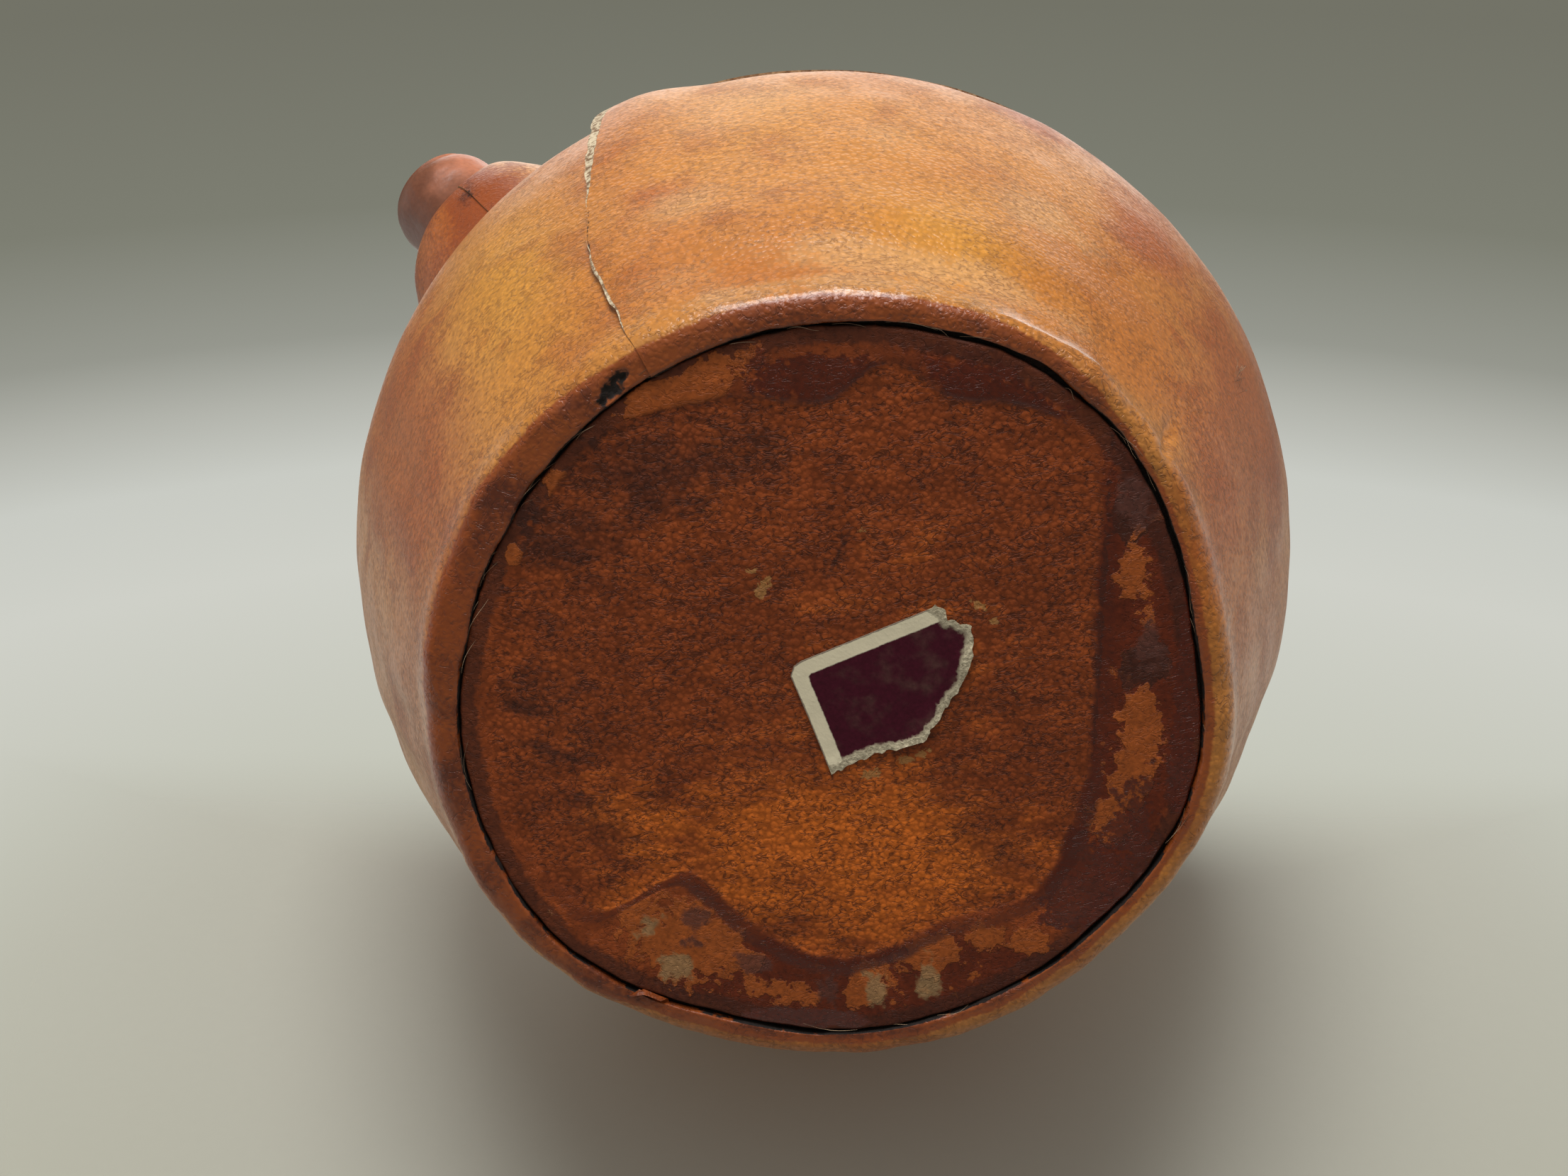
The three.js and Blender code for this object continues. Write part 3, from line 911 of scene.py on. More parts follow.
@dataclass(frozen=True)
class TornPaper:
    """Plum label paper with a cream border and torn fibres.

    The mesh carries the fields edge and torn: distances from its whole and its torn edges, in millimetres.
    """

    name: str = "torn paper"
    cream: Colour = (0.90, 0.80, 0.55)
    plum: Colour = (0.060, 0.006, 0.015)
    fibre: Colour = (0.33, 0.26, 0.16)
    border: float = 2.3
    blur: float = 0.12

    def make(self) -> Material:
        """Lay the border, the plum and the torn fibres.

        Returns:
            The finished material.
        """
        board = Board.material(self.name)
        cloud = board.noise(4.0, 1.0, 4.0)
        hair = board.noise(0.5, 2.0, 3.0)
        inwards = board.field("edge") + hair.swing(0.25)
        torn = 1.0 - (board.field("torn") + cloud.swing(2.4) + (hair - 0.5)).step(0.9, 1.5)
        tone = board.shade(board.mix(cloud.step(0.5, 0.8) * 0.15, self.plum, self.fibre), 1.1 - (hair - 0.5))
        colour = board.coats(
            self.cream,
            (inwards.step(self.border - self.blur, self.border + self.blur), tone),
            ((1.0 - inwards.step(0.1, 0.25)) * 0.7, self.plum),
            (torn, board.shade(board.mix(hair, self.fibre, self.cream), 0.5 + hair * 0.8)),
        )
        colour = board.shade(colour, 1.15 - cloud * 0.3)
        normal = board.relief(hair * (0.05 + torn * 0.2))
        return board.finish(Base_Color=colour, Roughness=0.62, Normal=normal, Specular_IOR_Level=0.15)


@dataclass(frozen=True)
class Hair:
    """Loose leather fibre."""

    name: str = "leather fibre"
    pale: Colour = (0.40, 0.27, 0.16)
    dark: Colour = (0.12, 0.060, 0.030)

    def make(self) -> Material:
        """Vary the fibres from dark to pale.

        Returns:
            The finished material.
        """
        board = Board.material(self.name)
        colour = board.mix(board.noise(3.0, 1.0).step(0.35, 0.65), self.dark, self.pale)
        return board.finish(Base_Color=colour, Roughness=0.8)


class Look(Enum):
    """Finishes of the jug."""

    TAN = TanLeather()
    RAW = RawEdge()
    BASE = BaseLeather()
    LIP = LipLeather()
    CLAY = FiredClay()
    CORK = CorkBark()
    PAPER = TornPaper()
    HAIR = Hair()


Looks = dict[Look, Material]


# Shape of the jug


@dataclass(frozen=True)
class JugForm:
    """Outer face of the leather: a bead round the base, the wall and the dome."""

    belly_radius: float = 90.0
    belly_height: float = 87.0
    dome_height: float = 78.0
    base_radius: float = 57.5
    bead_radius: float = 4.0
    lean: float = 27.0
    lower_pull: float = 46.0
    upper_pull: float = 14.0
    groove_radius: float = 54.0
    groove: Spline = Spline(
        (
            (-175.0, 54.6), (-128.0, 54.2), (-113.0, 53.8), (-82.0, 56.0), (-50.0, 54.1), (-20.0, 52.0),
            (12.0, 52.0), (40.0, 53.4), (66.0, 54.9), (84.0, 56.3), (107.0, 55.3), (124.0, 53.8),
            (138.0, 54.0), (154.0, 55.6),
        ),
        360.0,
    )

    @property
    def bead_reach(self) -> float:
        """Distance from the base's corner to where the bead starts."""
        return self.bead_radius * math.tan(math.radians(90.0 - self.lean) / 2)

    @property
    def half(self) -> Array:
        """Half axes of the dome."""
        return np.array([self.belly_radius, self.belly_radius, self.dome_height])

    @property
    def middle(self) -> Array:
        """Centre of the dome."""
        return np.array([0.0, 0.0, self.belly_height])

    def bead(self, angle: Array) -> tuple[Array, Array]:
        """Follow the bead.

        Args:
            angle: Angles about the bead's middle, in degrees.

        Returns:
            Radius and height at each angle.
        """
        centre = self.base_radius - self.bead_reach
        turn = np.radians(angle)
        return centre + self.bead_radius * np.cos(turn), self.bead_radius * (1 + np.sin(turn))

    def wall(self, t: Array) -> tuple[Array, Array]:
        """Follow the wall.

        Args:
            t: Places from 0 at the bead to 1 at the belly.

        Returns:
            Radius and height at each place.
        """
        s, c = math.sin(math.radians(self.lean)), math.cos(math.radians(self.lean))
        foot = np.array([self.base_radius + self.bead_reach * s, self.bead_reach * c])
        low = foot + self.lower_pull * np.array([s, c])
        high = np.array([self.belly_radius, self.belly_height - self.upper_pull])
        top = np.array([self.belly_radius, self.belly_height])
        t = np.asarray(t)[:, None]
        made = (1 - t) ** 3 * foot + 3 * t * (1 - t) ** 2 * low + 3 * t * t * (1 - t) * high + t**3 * top
        return made[:, 0], made[:, 1]

    def above_dome(self, points: Array) -> Array:
        """Measure how far points lie off the dome.

        Args:
            points: Points near the dome.

        Returns:
            Distance outside the dome, negative inside it.
        """
        scaled = (points - self.middle) / self.half
        length = np.linalg.norm(scaled, axis=-1)
        return (length - 1) * length / np.linalg.norm(scaled / self.half, axis=-1)

    def on_dome(self, points: Array, lift: Array) -> Array:
        """Points brought onto the dome and lifted off it."""
        scaled = unit((points - self.middle) / self.half)
        return scaled * self.half + self.middle + unit(scaled / self.half) * lift[..., None]

    def square_on(self, elevation: float, towards: int) -> Triple:
        """Find where a neck stands square on the dome.

        Args:
            elevation: Elevation of its axis.
            towards: 1 for a neck on the +X side, -1 for the other.

        Returns:
            The place on the dome.
        """
        angle = math.atan(self.dome_height / self.belly_radius * math.tan(math.radians(elevation)))
        height = self.belly_height + self.dome_height * math.sin(angle)
        return (towards * self.belly_radius * math.cos(angle), 0.0, height)

    def rough_edge(self, azimuth: Array, seed: int) -> Array:
        """Let a hand-cut edge stray along the groove.

        Args:
            azimuth: Azimuths in degrees.
            seed: Which edge.

        Returns:
            How far the edge strays at each azimuth, in millimetres.
        """
        ring = polar(self.groove_radius, azimuth, 0.0)
        noise = SmoothNoise(seed)
        return 0.16 * noise(ring, 6.0) + 0.12 * noise(ring, 1.7)


def outward(points: Array) -> Array:
    """Find the outward side of a grid.

    Args:
        points: Grid whose rows run upwards and whose columns run round.

    Returns:
        Unit normals of the points.
    """
    normal = np.cross(np.gradient(points, axis=1), np.gradient(points, axis=0))
    length = np.linalg.norm(normal, axis=-1)[..., None]
    return normal / np.maximum(length, 1e-9)


# Sub-assemblies


@dataclass(frozen=True)
class Made:
    """A finished piece with its slot, the solid that it stands for and its looks."""

    piece: Piece
    slot: Slot
    node: str | None
    looks: tuple[Look, ...]


@dataclass
class SubAssembly:
    """Pieces that are built and dressed together."""

    body: Body = field(default=Body.JUG, kw_only=True)
    made: list[Made] = field(default_factory=list, kw_only=True)

    def add(self, piece: Piece, slot: Slot, node: str | None, *looks: Look) -> None:
        """Keep a finished piece until it is dressed."""
        self.made.append(Made(piece, slot, node, looks))

    def build(self) -> None:
        """Make the meshes."""
        raise NotImplementedError

    def dress(self, materials: Looks) -> None:
        """Give each piece its materials, tie it to its body and hide the solid that it stands for.

        Args:
            materials: Materials of all the looks.
        """
        for part in self.made:
            slots = part.piece.data.materials
            for k, look in enumerate(part.looks):
                if k < len(slots):
                    slots[k] = materials[look]
                else:
                    slots.append(materials[look])
            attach(part.piece, self.body.value)
            if part.node:
                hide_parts(part.node)
            log.info("%s: %d faces", part.piece.name, len(part.piece.data.polygons))


def lapped(past: Array, lap: float, start: float, end: float) -> Array:
    """Lift of a tube's leather over its own lap, which fades out between two angles in radians."""
    return lap * (1 - ease(past, start, end)) - 0.1 * ease(past, TURN - 0.1, TURN)


@dataclass
class BodyWrap(SubAssembly):
    """Body leather: one sheet, turned under the base, that laps over itself at the side seam.

    Tints are placed by 1.4 times the azimuth, and by height.
    """

    form: JugForm
    thickness: float = 1.0
    tuck: float = 4.5
    seam_zone: float = 4.0
    groove_gap: float = 0.3
    hem_round: float = 0.6
    hem_depth: float = 1.6
    least_hem: float = 0.9
    top: float = 97.4
    columns: int = 440
    lap: Spline = Spline(
        ((0.0, 0.12), (6.0, 0.35), (12.0, 0.55), (28.0, 0.8), (45.0, 1.4), (55.0, 2.0), (98.0, 2.3)),
    )
    frayed: Spline = Spline(
        ((0.0, -0.4), (5.0, 0.1), (24.0, 0.3), (30.0, 0.0), (42.0, 0.1), (52.0, 1.1), (98.0, 2.0)),
    )
    seam: Spline = Spline(((0.0, 25.4), (8.0, 24.0), (20.0, 22.6), (45.0, 23.9), (70.0, 25.4), (98.0, 27.6)))
    stain_reach: Spline = Spline(
        (
            (-175.0, 2.6), (-120.0, 3.2), (-60.0, 5.2), (0.0, 6.4), (18.0, 5.6), (34.0, 4.9), (75.0, 4.6),
            (95.0, 2.6), (140.0, 2.5),
        ),
        360.0,
    )
    tints: Stains = (
        ("gold", (Blot(14, 42, 13, 32), Blot(94, 17, 14, 13), Blot(60, 60, 16, 14, 0, 0.5))),
        ("red", (
            Blot(-20, 40, 20, 40), Blot(131, 57, 11, 18), Blot(108, 80, 7, 10), Blot(164, 45, 20, 50),
            Blot(45, 35, 7, 6, 0, 0.7), Blot(-250, 40, 60, 60, 0, 0.6),
        )),
        # Pale: peach patches that are partly painted highlight; the last two marks are bands of painted
        # highlight above the bead and along it.
        ("pale", (
            Blot(63, 62, 16, 12, 0, 0.7), Blot(84, 45, 10, 9, 0, 0.7), Blot(49, 30, 9, 6, 0, 0.7),
            Blot(112, 36, 10, 8), Blot(84, 11, 34, 5, 0, 1.1), Blot(74, 3.4, 36, 2.6, 0, 1.0),
        )),
    )
    # Notch at the seam's foot: a dent in the hem, painted with shade.
    notch: Blots = (
        Blot(19.2, 53.9, 1.7, 1.3), Blot(21.2, 54.8, 1.4, 0.9), Blot(17.4, 53.2, 1.6, 0.8, 0, 0.8),
    )

    def _profile(self, azimuth: Array) -> tuple[Array, Array]:
        """Section of the sheet.

        Args:
            azimuth: Azimuth of the columns at the base, in degrees.

        Returns:
            Radius of each row and column, and height of each row.
        """
        form = self.form
        edge = form.groove(azimuth) + self.groove_gap / 2 + form.rough_edge(azimuth, 2)
        start = form.base_radius - form.bead_reach
        push = np.maximum(edge + self.hem_round + self.least_hem - start, 0.0)
        turn = arc(180.0, 270.0, 6)[:, None]
        flat = np.linspace(0.0, 1.0, 10)[1:-1, None]
        bead_r, bead_z = form.bead(np.linspace(-90.0, -form.lean, 10))
        wall_r, wall_z = form.wall(np.linspace(0.0, 1.0, 66)[1:])
        rise = np.linspace(0.0, math.asin((self.top - form.belly_height) / form.dome_height), 7)[1:]
        side_r = np.concatenate([bead_r, wall_r, form.belly_radius * np.cos(rise)])[:, None]
        dome_z = form.belly_height + form.dome_height * np.sin(rise)
        side_z = np.concatenate([bead_z, wall_z, dome_z])[:, None]
        radius = [
            edge[None],
            edge + self.hem_round * (1 + np.cos(turn)),
            (edge + self.hem_round) * (1 - flat) + (start + push) * flat,
            side_r + push * np.exp(-side_z / 9.0),
        ]
        height = [[[self.hem_depth]], self.hem_round * (1 + np.sin(turn)), 0.0 * flat, side_z]
        return np.vstack(radius), np.vstack(height)

    def _flap(self, past: Array) -> Array:
        """Where the sheet lies on its own other end: 1 at the seam, by angles past it in radians."""
        return 1.0 - ease(past, math.radians(3.2), math.radians(15.0))

    def _relief(self, points: Array, past: Array, azimuth: Array, height: Array) -> Array:
        """Shape the lumps, folds and creases of the sheet and its lap.

        Args:
            points: Points of the plain form.
            past: Angles past the seam, in radians.
            azimuth: Azimuths in degrees.
            height: Height of each row.

        Returns:
            How far the face stands off the plain form at each point.
        """
        noise = SmoothNoise(11)
        relief = 0.35 * noise(points, 24.0) + 0.14 * noise(points, 9.0)
        relief += bell(height, 4.0) * (0.34 * noise(points, 7.0) + 0.16 * noise(points, 3.4))
        folds = joined(azimuth / 5.0, height / 55.0, 0.0)
        flank = ease(np.abs(wrapped(azimuth - 55.0)), 60.0, 100.0)
        relief += 0.45 * (0.25 + flank) * noise(folds, 1.0) * ease(height, 4.0, 20.0)
        front = bell(wrapped(azimuth - 65.0), 45.0)
        relief += front * (0.55 * bell(height - 22.0, 6.0) - 0.6 * bell(height - 10.5, 5.5))
        crease = bell(wrapped(azimuth - 104.5), 0.9) * ease(14.0 - height, 0.0, 8.0) * ease(height, 0.2, 1.5)
        fold = bell(height - (3.0 + 0.16 * (azimuth - 75.0)), 0.8) * ease(azimuth, 70.0, 80.0)
        relief += -1.0 * crease - 0.45 * fold * ease(106.0 - azimuth, 0.0, 3.0)
        flap = self._flap(past)
        tail = ease(past, TURN - math.radians(2.0), TURN)
        return relief * (1 - 0.7 * flap) + flap * self.lap(height) - 0.15 * tail

    def build(self) -> None:
        """Make the sheet."""
        near, far = self.seam_zone / self.form.belly_radius, self.tuck / self.form.belly_radius
        past = np.concatenate(
            [
                np.linspace(0.0, near, 18),
                np.linspace(near, TURN - near, self.columns)[1:-1],
                np.linspace(TURN - near, TURN + far, 30),
            ]
        )
        radius, height = self._profile(self.seam(0.0) + np.degrees(past))
        ragged = SmoothNoise(5)(joined(height, 3.0, 0.0), 3.0) * 0.35 * np.exp(-past / math.radians(0.8))
        azimuth = self.seam(height) + np.degrees(past) + ragged
        around = wrapped(azimuth)
        hole = marks(self.notch, around, radius)
        points = polar(radius, azimuth, height)
        points = points + outward(points) * self._relief(points, past, around, height)[..., None]
        points[..., 2] = np.maximum(points[..., 2], -0.15)
        points[..., 2] += 0.8 * ease(hole, 0.4, 0.9) * (height < 0.5)
        from_groove = radius - self.form.groove(around)
        flap_edge, tail_edge = past * radius, (TURN - past) * radius
        # Painted shadow: a dark line on the sheet beside the lapped seam edge, and on the lap's face where the
        # seam gapes.
        seam_shadow = 0.95 * bell(tail_edge, 0.6) * ease(height, 22.0, 30.0)
        slit = ease(height, 22.0, 30.0) * ease(50.0 - height, 0.0, 5.0) * (past > 0)
        seam_shadow += 0.9 * bell(flap_edge, 0.25) * slit
        # Painted shade where the hem runs down into the groove.
        rim = ease(0.4 - from_groove, 0.0, 0.35)
        fields = {
            "stain": 0.84 * ease(self.stain_reach(around) - from_groove, 0.0, 2.0) * (height < 4.0),
            "soot": np.max([0.95 * hole, rim, seam_shadow], axis=0),
            "raw": ease(self.frayed(height) + 0.2 - flap_edge, 0.0, 0.4) * (past < 1.0),
            "gloss": bell(height - 2.4, 1.9) * (0.25 + 0.75 * bell(wrapped(around - 62.0), 52.0)),
            "grain": bell(wrapped(around - 60.0), 40.0) * ease(70.0 - height, 0.0, 40.0),
        }
        fields |= {name: marks(blots, around * 1.4, height) for name, blots in self.tints}
        thickness = self.thickness + self._flap(past) * np.maximum(self.lap(height) - 0.9, 0.0)
        sheet = Sheet("body_leather", points, fields, thickness=thickness)
        self.add(sheet.build(), Slot.WRAP, "body_wrap", Look.TAN, Look.RAW)


@dataclass
class BaseDisc(SubAssembly):
    """Leather disc let in within the hem of the body leather. Stains are in the plan of the base."""

    form: JugForm
    plan_turn: float = 142.4
    columns: int = 420
    gap: float = 0.3
    face: float = 1.02
    band_rise: float = 0.35
    under: float = 2.42
    flange: float = 2.2
    flange_thickness: float = 0.18
    edge_round: float = 0.6
    wave: Spline = Spline(
        (
            (12.0, 49.7), (35.0, 46.2), (55.0, 44.8), (61.0, 49.3), (73.0, 47.4), (90.0, 52.0),
            (101.0, 50.2), (115.0, 43.2), (142.0, 39.0), (172.0, 42.1), (187.0, 44.0), (202.0, 40.3),
            (230.0, 42.0), (249.0, 38.1), (262.0, 34.9), (271.0, 36.5), (276.0, 47.0), (284.0, 49.4),
            (320.0, 49.0), (352.0, 48.0),
        ),
        360.0,
    )
    stains: Stains = (
        ("mottle", (Blot(45, -6, 7, 34), Blot(8, 45, 28, 7), Blot(20, -47, 12, 4, 12, 0.5))),
        ("line", (
            Blot(4, 42, 34, 9), Blot(36, 24, 12, 16), Blot(-20, 33, 16, 9), Blot(39, -8, 3, 26, 0, 0.6),
            Blot(10, -44, 22, 6, 0, 0.5),
        )),
        ("orange", (
            Blot(-19.5, -45.5, 9.5, 2.8, -20), Blot(-37.5, -31.5, 1.6, 2.4), Blot(-44.5, -21.5, 1.3, 2.0),
            Blot(46, 3, 3.2, 5), Blot(45.5, 10, 3, 3.5), Blot(42.5, 18.5, 3, 3.6),
            Blot(43, -19, 2.5, 5, 0, 0.8), Blot(45, 14, 3, 4), Blot(25, 38, 3.5, 2.5),
            Blot(31, 38.5, 3.5, 2), Blot(16, 41, 5, 3.4), Blot(-21, 39, 10, 6, 25), Blot(6, 47, 3, 4),
            Blot(-6, 47, 7, 2.5, 15, 0.8),
        )),
        ("beige", (
            Blot(16, 46, 2.2, 3.2), Blot(8, 48, 1.6, 3.2), Blot(-26, 36.5, 3.5, 1.6, -40),
            Blot(-22, 43, 3, 2.6),
        )),
        ("mauve", (
            Blot(-19, 35, 2.4, 1.6), Blot(-20, 39.5, 2.4, 1.2), Blot(-10, 43, 3, 1.6, 10), Blot(1, 47, 2, 3),
            Blot(43, -30, 3, 3.5), Blot(46.5, -8, 2.5, 3.5),
        )),
        ("red", (
            Blot(1.5, -46, 11, 3.6, 6), Blot(24, -43.5, 9, 3.4, 22, 0.9), Blot(52.3, -4, 1.8, 18),
            Blot(53, 12, 2.5, 5), Blot(39, 29.5, 6, 9, -40), Blot(-2, 52, 9, 1.6),
            Blot(46, 20, 4, 10, 0, 0.7),
        )),
        ("dark", (
            Blot(42, -27, 2.4, 4), Blot(47, -6, 2.2, 4), Blot(44, -5, 1.6, 3), Blot(39.2, -13, 0.45, 20),
            Blot(-41, 8, 6, 1.1, 18), Blot(-43, 2, 4, 1.6, 10), Blot(-22, -34, 17, 7, -12, 0.85),
            Blot(2, -22.2, 5.2, 0.3, 115, 0.9), Blot(24, 24, 7, 4, 20, 0.6), Blot(-36, -24, 11, 9, 0, 0.75),
            Blot(-39, -3, 8, 15, 0, 0.6), Blot(17, -35, 13, 6, 0, 0.25), Blot(-34, 20, 7, 5, 40, 0.6),
        )),
        ("glow", (
            Blot(-25, 21, 11, 7, 35, 0.75), Blot(-31, 33, 6, 3.5, -30, 0.8), Blot(-9, 32, 12, 5),
            Blot(3, 25, 27, 14, 0, 1.0), Blot(12, -4, 20, 22, 0, 0.35),
        )),
        ("scuff", (
            Blot(-9.4, -16.0, 0.8, 1.2), Blot(-8.7, -17.6, 0.9, 0.7), Blot(-10.6, -19.2, 0.9, 0.5),
            Blot(14.5, 8.4, 1.5, 0.6, -20), Blot(12.0, 9.4, 1.2, 0.5), Blot(7, 11.5, 1.4, 0.7),
            Blot(21.5, -14.5, 1.2, 0.5, 30), Blot(24, -12, 0.7, 0.6), Blot(5, -25, 0.5, 0.5),
        )),
    )

    def plan(self, points: Array) -> tuple[Array, Array]:
        """Turn points into the plan of the base.

        Args:
            points: Points in the frame.

        Returns:
            Both plan coordinates of each point.
        """
        turn = math.radians(self.plan_turn)
        c, s = math.cos(turn), math.sin(turn)
        return points[..., 0] * c + points[..., 1] * s, points[..., 1] * c - points[..., 0] * s

    def height(self, radius: Array, azimuth: Array) -> Array:
        """Height of the visible face, without its round edge."""
        past = radius - self.wave(azimuth)
        return self.face - self.band_rise * ease(past, -0.9, 0.7)

    def build(self) -> None:
        """Make the disc, its flange under the hem and its upper face."""
        azimuth = np.linspace(-180.0, 180.0, self.columns, endpoint=False)
        edge = self.form.groove(azimuth) - self.gap / 2 + self.form.rough_edge(azimuth, 3)
        share = np.concatenate([np.linspace(0.0, 0.6, 44), np.linspace(0.6, 1.0, 46)[1:]])[:, None]
        face_r = (edge - self.edge_round) * share
        flat = polar(face_r, azimuth, 0.0)
        noise = SmoothNoise(23)
        face_z = self.height(face_r, azimuth) + 0.1 * noise(flat, 9.0) + 0.06 * noise(flat, 3.5)
        lip = arc(0.0, 90.0, 6)[1:, None]
        lip_r = edge - self.edge_round + self.edge_round * np.sin(lip)
        lip_z = face_z[-1] + self.edge_round * (1 - np.cos(lip))
        tail_r = np.stack([edge, edge + self.flange, edge + self.flange, 0 * edge])
        tail_z = np.array([self.under - self.flange_thickness] * 2 + [self.under] * 2)[:, None]
        radius = np.vstack([face_r, lip_r, tail_r])
        height = np.vstack([face_z, lip_z, np.broadcast_to(tail_z, tail_r.shape)])
        points = polar(radius, azimuth, height)
        fields = {
            "band": radius - self.wave(azimuth),
            "rim": np.maximum(edge - radius, 0.0) * (height < self.under - 0.3),
        }
        fields |= {name: marks(blots, *self.plan(points)) for name, blots in self.stains}
        sheet = Sheet("base_leather", points, fields, closed=True)
        self.add(sheet.build(), Slot.BASE, "base_disc", Look.BASE)


def nearest(points: Array, others: Array) -> Array:
    """Distance of each point from the nearest of others."""
    return np.min(np.linalg.norm(points[:, None] - others[None], axis=-1), axis=1)


@dataclass
class PaperLabel(SubAssembly):
    """Torn label that is glued to the base. Its outline runs along and across the label from its corner."""

    disc: BaseDisc
    corner: tuple[float, float] = (7.245, 0.911)
    turn: float = 118.7
    thickness: float = 0.16
    glue: float = 0.14
    mesh_size: float = 0.7
    whole: Pairs = ((-1.0, 17.9), (-0.6, 9.0), (-0.4, 1.5), (0.6, 0.3), (1.9, 0.0), (22.6, 0.1))
    torn: Pairs = (
        (24.0, 1.2), (23.8, 2.8), (26.4, 4.8), (25.7, 7.3), (24.8, 9.3), (22.5, 12.0), (17.5, 15.5),
        (13.2, 18.3), (6.7, 17.5),
    )

    def _outline(self) -> tuple[Array, Array]:
        """Follow the outline, ragged along its tears.

        Returns:
            Points of the outline, and which of them are torn.
        """
        corners = np.array(self.whole + self.torn + self.whole[:1])
        points, tears = [], []
        noise = SmoothNoise(3)
        for k, (start, end) in enumerate(zip(corners[:-1], corners[1:])):
            tear = k >= len(self.whole) - 1
            steps = max(int(np.linalg.norm(end - start) / 0.4), 1)
            for t in np.arange(steps) / steps:
                point = start + (end - start) * t
                if tear:
                    at = np.array([[*point, 0.0], [*point, 9.0]])
                    point = point + 0.35 * noise(at, 0.9)
                points.append(point)
                tears.append(tear)
        return np.array(points), np.array(tears)

    def build(self) -> None:
        """Make the paper."""
        outline, tears = self._outline()
        across = np.meshgrid(np.arange(0.4, 26.0, self.mesh_size), np.arange(0.5, 18.0, self.mesh_size))
        inner = np.stack(across, axis=-1).reshape(-1, 2)
        inner = inner[nearest(inner, outline) > self.mesh_size / 2]
        spots = [Vector(p) for p in np.vstack([outline, inner])]
        made = delaunay_2d_cdt(spots, [], [list(range(len(outline)))], 1, 1e-5)
        flat = np.array([(v.x, v.y) for v in made[0]])
        faces = [list(f) for f in made[2]]
        turn = math.radians(self.turn)
        u = np.array([math.cos(turn), math.sin(turn)])
        v = np.array([-u[1], u[0]])
        place = np.array(self.corner) + flat[:, :1] * u + flat[:, 1:] * v
        azimuth = np.degrees(np.arctan2(place[:, 1], place[:, 0]))
        tear, edge = nearest(flat, outline[tears]), nearest(flat, outline[~tears])
        curl = 0.35 * bell(tear, 1.6) * (SmoothNoise(9)(joined(*flat.T, 0.0), 5.0) > 0.1)
        above = self.disc.height(np.linalg.norm(place, axis=1), azimuth) - self.glue - curl
        levels = [np.column_stack([place, above - drop]) for drop in (self.thickness, 0.0)]
        count = len(flat)
        sides = dict.fromkeys((a, b) for face in faces for a, b in zip(face, face[1:] + face[:1]))
        shell = [f[::-1] for f in faces] + [[i + count for i in f] for f in faces]
        shell += [[a, b, b + count, a + count] for a, b in sides if (b, a) not in sides]
        mesh = meshed("paper_label_torn", np.vstack(levels), shell)
        carry(mesh, "edge", np.tile(edge, 2), (2 * count,))
        carry(mesh, "torn", np.tile(tear, 2), (2 * count,))
        piece = placed("paper_label_torn", mesh)
        smooth(piece)
        self.add(piece, Slot.PAPER, "paper_label", Look.PAPER)


